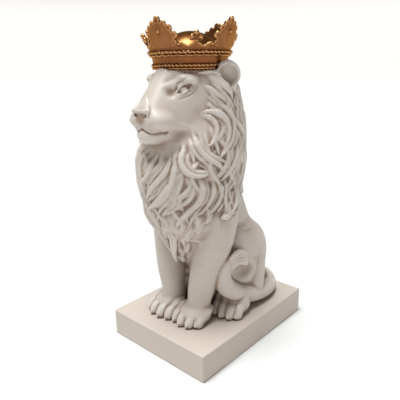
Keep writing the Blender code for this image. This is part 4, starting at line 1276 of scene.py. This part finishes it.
class LionSizes(bpy.types.PropertyGroup):
    """Sizes that the lion and its plinth are worked with."""

    step: bpy.props.FloatProperty(
        name="Clay step", description="Spacing of the sculpting grid", default=0.0008, unit="LENGTH"
    )
    strands: bpy.props.IntProperty(name="Strands", description="Strands in a main lock", default=4, min=2)
    plinth_edge: bpy.props.FloatProperty(
        name="Plinth edge", description="Rounding of the plinth's edges", default=0.0016, unit="LENGTH"
    )
    triangles: bpy.props.IntProperty(
        name="Most triangles", description="Triangles left after thinning", default=185000
    )


class CrownSizes(bpy.types.PropertyGroup):
    """Sizes that the crown is worked with."""

    step: bpy.props.FloatProperty(
        name="Clay step", description="Spacing of the sculpting grid", default=0.0005, unit="LENGTH"
    )
    triangles: bpy.props.IntProperty(
        name="Most triangles", description="Triangles left after thinning", default=150000
    )


class StageSizes(bpy.types.PropertyGroup):
    """Camera, lights and floor."""

    camera_place: bpy.props.FloatVectorProperty(
        name="Camera place", description="Where the camera stands", default=(0.3212, -0.3739, 0.3056),
        subtype="TRANSLATION", unit="LENGTH",
    )
    camera_turn: bpy.props.FloatProperty(
        name="Camera turn", description="Turn off +Y, towards -X",
        default=math.radians(42.02), subtype="ANGLE",
    )
    camera_dip: bpy.props.FloatProperty(
        name="Camera dip", description="How far the camera looks down",
        default=math.radians(16.66), subtype="ANGLE",
    )
    camera_roll: bpy.props.FloatProperty(
        name="Camera roll", description="Roll about the line of sight",
        default=math.radians(-0.85), subtype="ANGLE",
    )
    lens: bpy.props.FloatProperty(
        name="Lens", description="Focal length on a 36 mm sensor", default=40.1, subtype="DISTANCE_CAMERA"
    )
    key_from: bpy.props.FloatVectorProperty(
        name="Key light from", description="Direction of the key light",
        default=(-0.05, -0.17, 0.984), subtype="DIRECTION",
    )
    key_strength: bpy.props.FloatProperty(
        name="Key light", description="Strength of the key light", default=4.5, min=0
    )
    key_colour: colour_property("Key colour", "Colour of the key light", (0.94, 0.985, 1.0))
    key_width: bpy.props.FloatProperty(
        name="Key width", description="Angle that the key light fills",
        default=math.radians(28), subtype="ANGLE",
    )
    sky: bpy.props.FloatProperty(
        name="Sky", description="Brightness of the surroundings overhead", default=0.2, min=0
    )
    horizon: bpy.props.FloatProperty(
        name="Horizon", description="Brightness of the surroundings at eye level", default=1.03, min=0
    )
    floor_colour: colour_property("Floor", "Colour of the floor", (0.70, 0.69, 0.675))


class FigurineSettings(bpy.types.PropertyGroup):
    """All settings of the figurine."""

    lion: bpy.props.PointerProperty(type=LionSizes)
    crown: bpy.props.PointerProperty(type=CrownSizes)
    resin: bpy.props.PointerProperty(type=ResinFinish)
    gilt: bpy.props.PointerProperty(type=GiltFinish)
    stage: bpy.props.PointerProperty(type=StageSizes)


class FIGURINE_OT_lion(bpy.types.Operator):
    """Sculpt the lion and its plinth, one casting in white resin"""

    bl_idname = "figurine.lion"
    bl_label = "Lion and plinth"

    def execute(self, context):
        settings = context.scene.figurine
        sizes = settings.lion
        step = sizes.step / MM * 1
        clay = sculpt_lion(step, sizes.strands)
        lion = clay_object("lion", clay)
        thinned(lion, sizes.triangles)
        joined(lion, "UNION", plinth_block(sizes.plinth_edge))
        joined(lion, "DIFFERENCE", turned("crown_seat", SEAT_PROFILE, SEAT_SIDES))
        # Masks for the painted shade in the hollows and the painted highlight on the ridges, and a spot of
        # painted shade on the front of the nose
        mark_relief(lion, clay, {"wide_relief": 4.0, "fine_relief": 1.2}, [NOSE_PAINTED_SHADE])
        lion.data.shade_smooth()
        lion.modifiers.new("Even shading", "WEIGHTED_NORMAL").keep_sharp = True
        lion.data.materials.append(cast_material("white_resin", settings.resin, 0.0))
        stands_for(lion, "lion_on_plinth")
        return {"FINISHED"}


class FIGURINE_OT_crown(bpy.types.Operator):
    """Sculpt the crown, a casting of its own with a gilt finish"""

    bl_idname = "figurine.crown"
    bl_label = "Crown"

    def execute(self, context):
        settings = context.scene.figurine
        sizes = settings.crown
        clay = sculpt_crown(sizes.step / MM * (1))
        crown = clay_object("gilt_crown", clay)
        thinned(crown, sizes.triangles)
        # Masks for the painted shade in the hollows and the painted highlight on the ridges of the gilt
        mark_relief(crown, clay, {"wide_relief": 2.5, "fine_relief": 0.8})
        crown.data.shade_smooth()
        crown.data.materials.append(cast_material("gilt", settings.gilt, 1.0))
        stands_for(crown, "crown")
        return {"FINISHED"}


class FIGURINE_OT_stage(bpy.types.Operator):
    """Set up the pale floor, the soft studio lights and the camera"""

    bl_idname = "figurine.stage"
    bl_label = "Stage"

    def execute(self, context):
        stage = context.scene.figurine.stage
        add_camera(stage)
        add_floor(stage)
        add_key_light(stage)
        add_surroundings(stage)
        return {"FINISHED"}


def add_camera(stage):
    """The camera at the photograph's place, with its turn, dip and roll."""
    camera = new_object("photo_camera", bpy.data.cameras.new("photo_camera"))
    camera.data.sensor_width = 36
    camera.data.lens = stage.lens
    camera.data.clip_start = 0.01
    turn = Matrix.Rotation(stage.camera_turn, 4, "Z")
    dip = Matrix.Rotation(math.pi / 2 - stage.camera_dip, 4, "X")
    roll = Matrix.Rotation(stage.camera_roll, 4, "Z")
    camera.matrix_world = Matrix.Translation(stage.camera_place) @ turn @ dip @ roll
    bpy.context.scene.camera = camera


def add_floor(stage):
    """A wide pale floor under the plinth."""
    mesh = bpy.data.meshes.new("floor")
    work = bmesh.new()
    bmesh.ops.create_circle(work, cap_ends=True, segments=96, radius=12.0)
    work.to_mesh(mesh)
    work.free()
    floor = new_object("floor", mesh)
    made = bpy.data.materials.new("pale_floor")
    made.use_nodes = True
    add = node_maker(made.node_tree)
    place = add("ShaderNodeTexCoord").outputs["Object"]
    grain = add("ShaderNodeTexNoise", {"Vector": place, "Scale": 60.0, "Detail": 4.0}).outputs["Fac"]
    shader = made.node_tree.nodes["Principled BSDF"]
    shader.inputs["Base Color"].default_value = (*stage.floor_colour, 1)
    rough = add("ShaderNodeMapRange", {"Value": grain, "To Min": 0.75, "To Max": 0.95}).outputs["Result"]
    made.node_tree.links.new(rough, shader.inputs["Roughness"])
    floor.data.materials.append(made)


def add_key_light(stage):
    """A wide, soft light from nearly overhead and a little in front of the lion."""
    light = bpy.data.lights.new("key_light", "SUN")
    light.energy = stage.key_strength
    light.color = stage.key_colour
    light.angle = stage.key_width
    lamp = new_object("key_light", light)
    lamp.location = Vector(stage.key_from)
    lamp.rotation_euler = Vector(stage.key_from).to_track_quat("Z", "Y").to_euler()


def add_surroundings(stage):
    """Pale surroundings, brightest along the horizon, and plain colour management."""
    world = bpy.data.worlds.new("pale_surroundings")
    world.use_nodes = True
    add = node_maker(world.node_tree)
    place = add("ShaderNodeTexCoord").outputs["Generated"]
    up = add("ShaderNodeSeparateXYZ", {"Vector": place}).outputs["Z"]
    share = {"Value": up, "From Min": 0.1, "From Max": 0.24, "To Min": stage.horizon, "To Max": stage.sky}
    strength = add("ShaderNodeMapRange", share, interpolation_type="SMOOTHSTEP").outputs["Result"]
    background = world.node_tree.nodes["Background"]
    background.inputs["Color"].default_value = (1.0, 0.97, 0.94, 1)
    world.node_tree.links.new(strength, background.inputs["Strength"])
    bpy.context.scene.world = world
    bpy.context.scene.view_settings.view_transform = "Standard"


class FIGURINE_PT_panel(bpy.types.Panel):
    """Lists the figurine's operators and settings"""

    bl_idname = "FIGURINE_PT_panel"
    bl_label = "Lion figurine"
    bl_space_type = "VIEW_3D"
    bl_region_type = "UI"
    bl_category = "Lion"

    def draw(self, context):
        settings = context.scene.figurine
        for operator, groups in PANEL_ROWS:
            self.layout.operator(operator)
            for group in groups:
                box = self.layout.box()
                values = getattr(settings, group)
                for name in values.bl_rna.properties.keys():
                    if name not in {"rna_type", "name"}:
                        box.prop(values, name)


PANEL_ROWS = (
    ("figurine.lion", ("lion", "resin")),
    ("figurine.crown", ("crown", "gilt")),
    ("figurine.stage", ("stage",)),
)
CLASSES = (
    ResinFinish,
    GiltFinish,
    LionSizes,
    CrownSizes,
    StageSizes,
    FigurineSettings,
    FIGURINE_OT_lion,
    FIGURINE_OT_crown,
    FIGURINE_OT_stage,
    FIGURINE_PT_panel,
)


def register():
    for cls in CLASSES:
        bpy.utils.register_class(cls)
    bpy.types.Scene.figurine = bpy.props.PointerProperty(type=FigurineSettings)


def unregister():
    del bpy.types.Scene.figurine
    for cls in reversed(CLASSES):
        bpy.utils.unregister_class(cls)


def main():
    register()
    bpy.ops.figurine.stage()
    bpy.ops.figurine.lion()
    bpy.ops.figurine.crown()


if __name__ == "__main__":
    main()
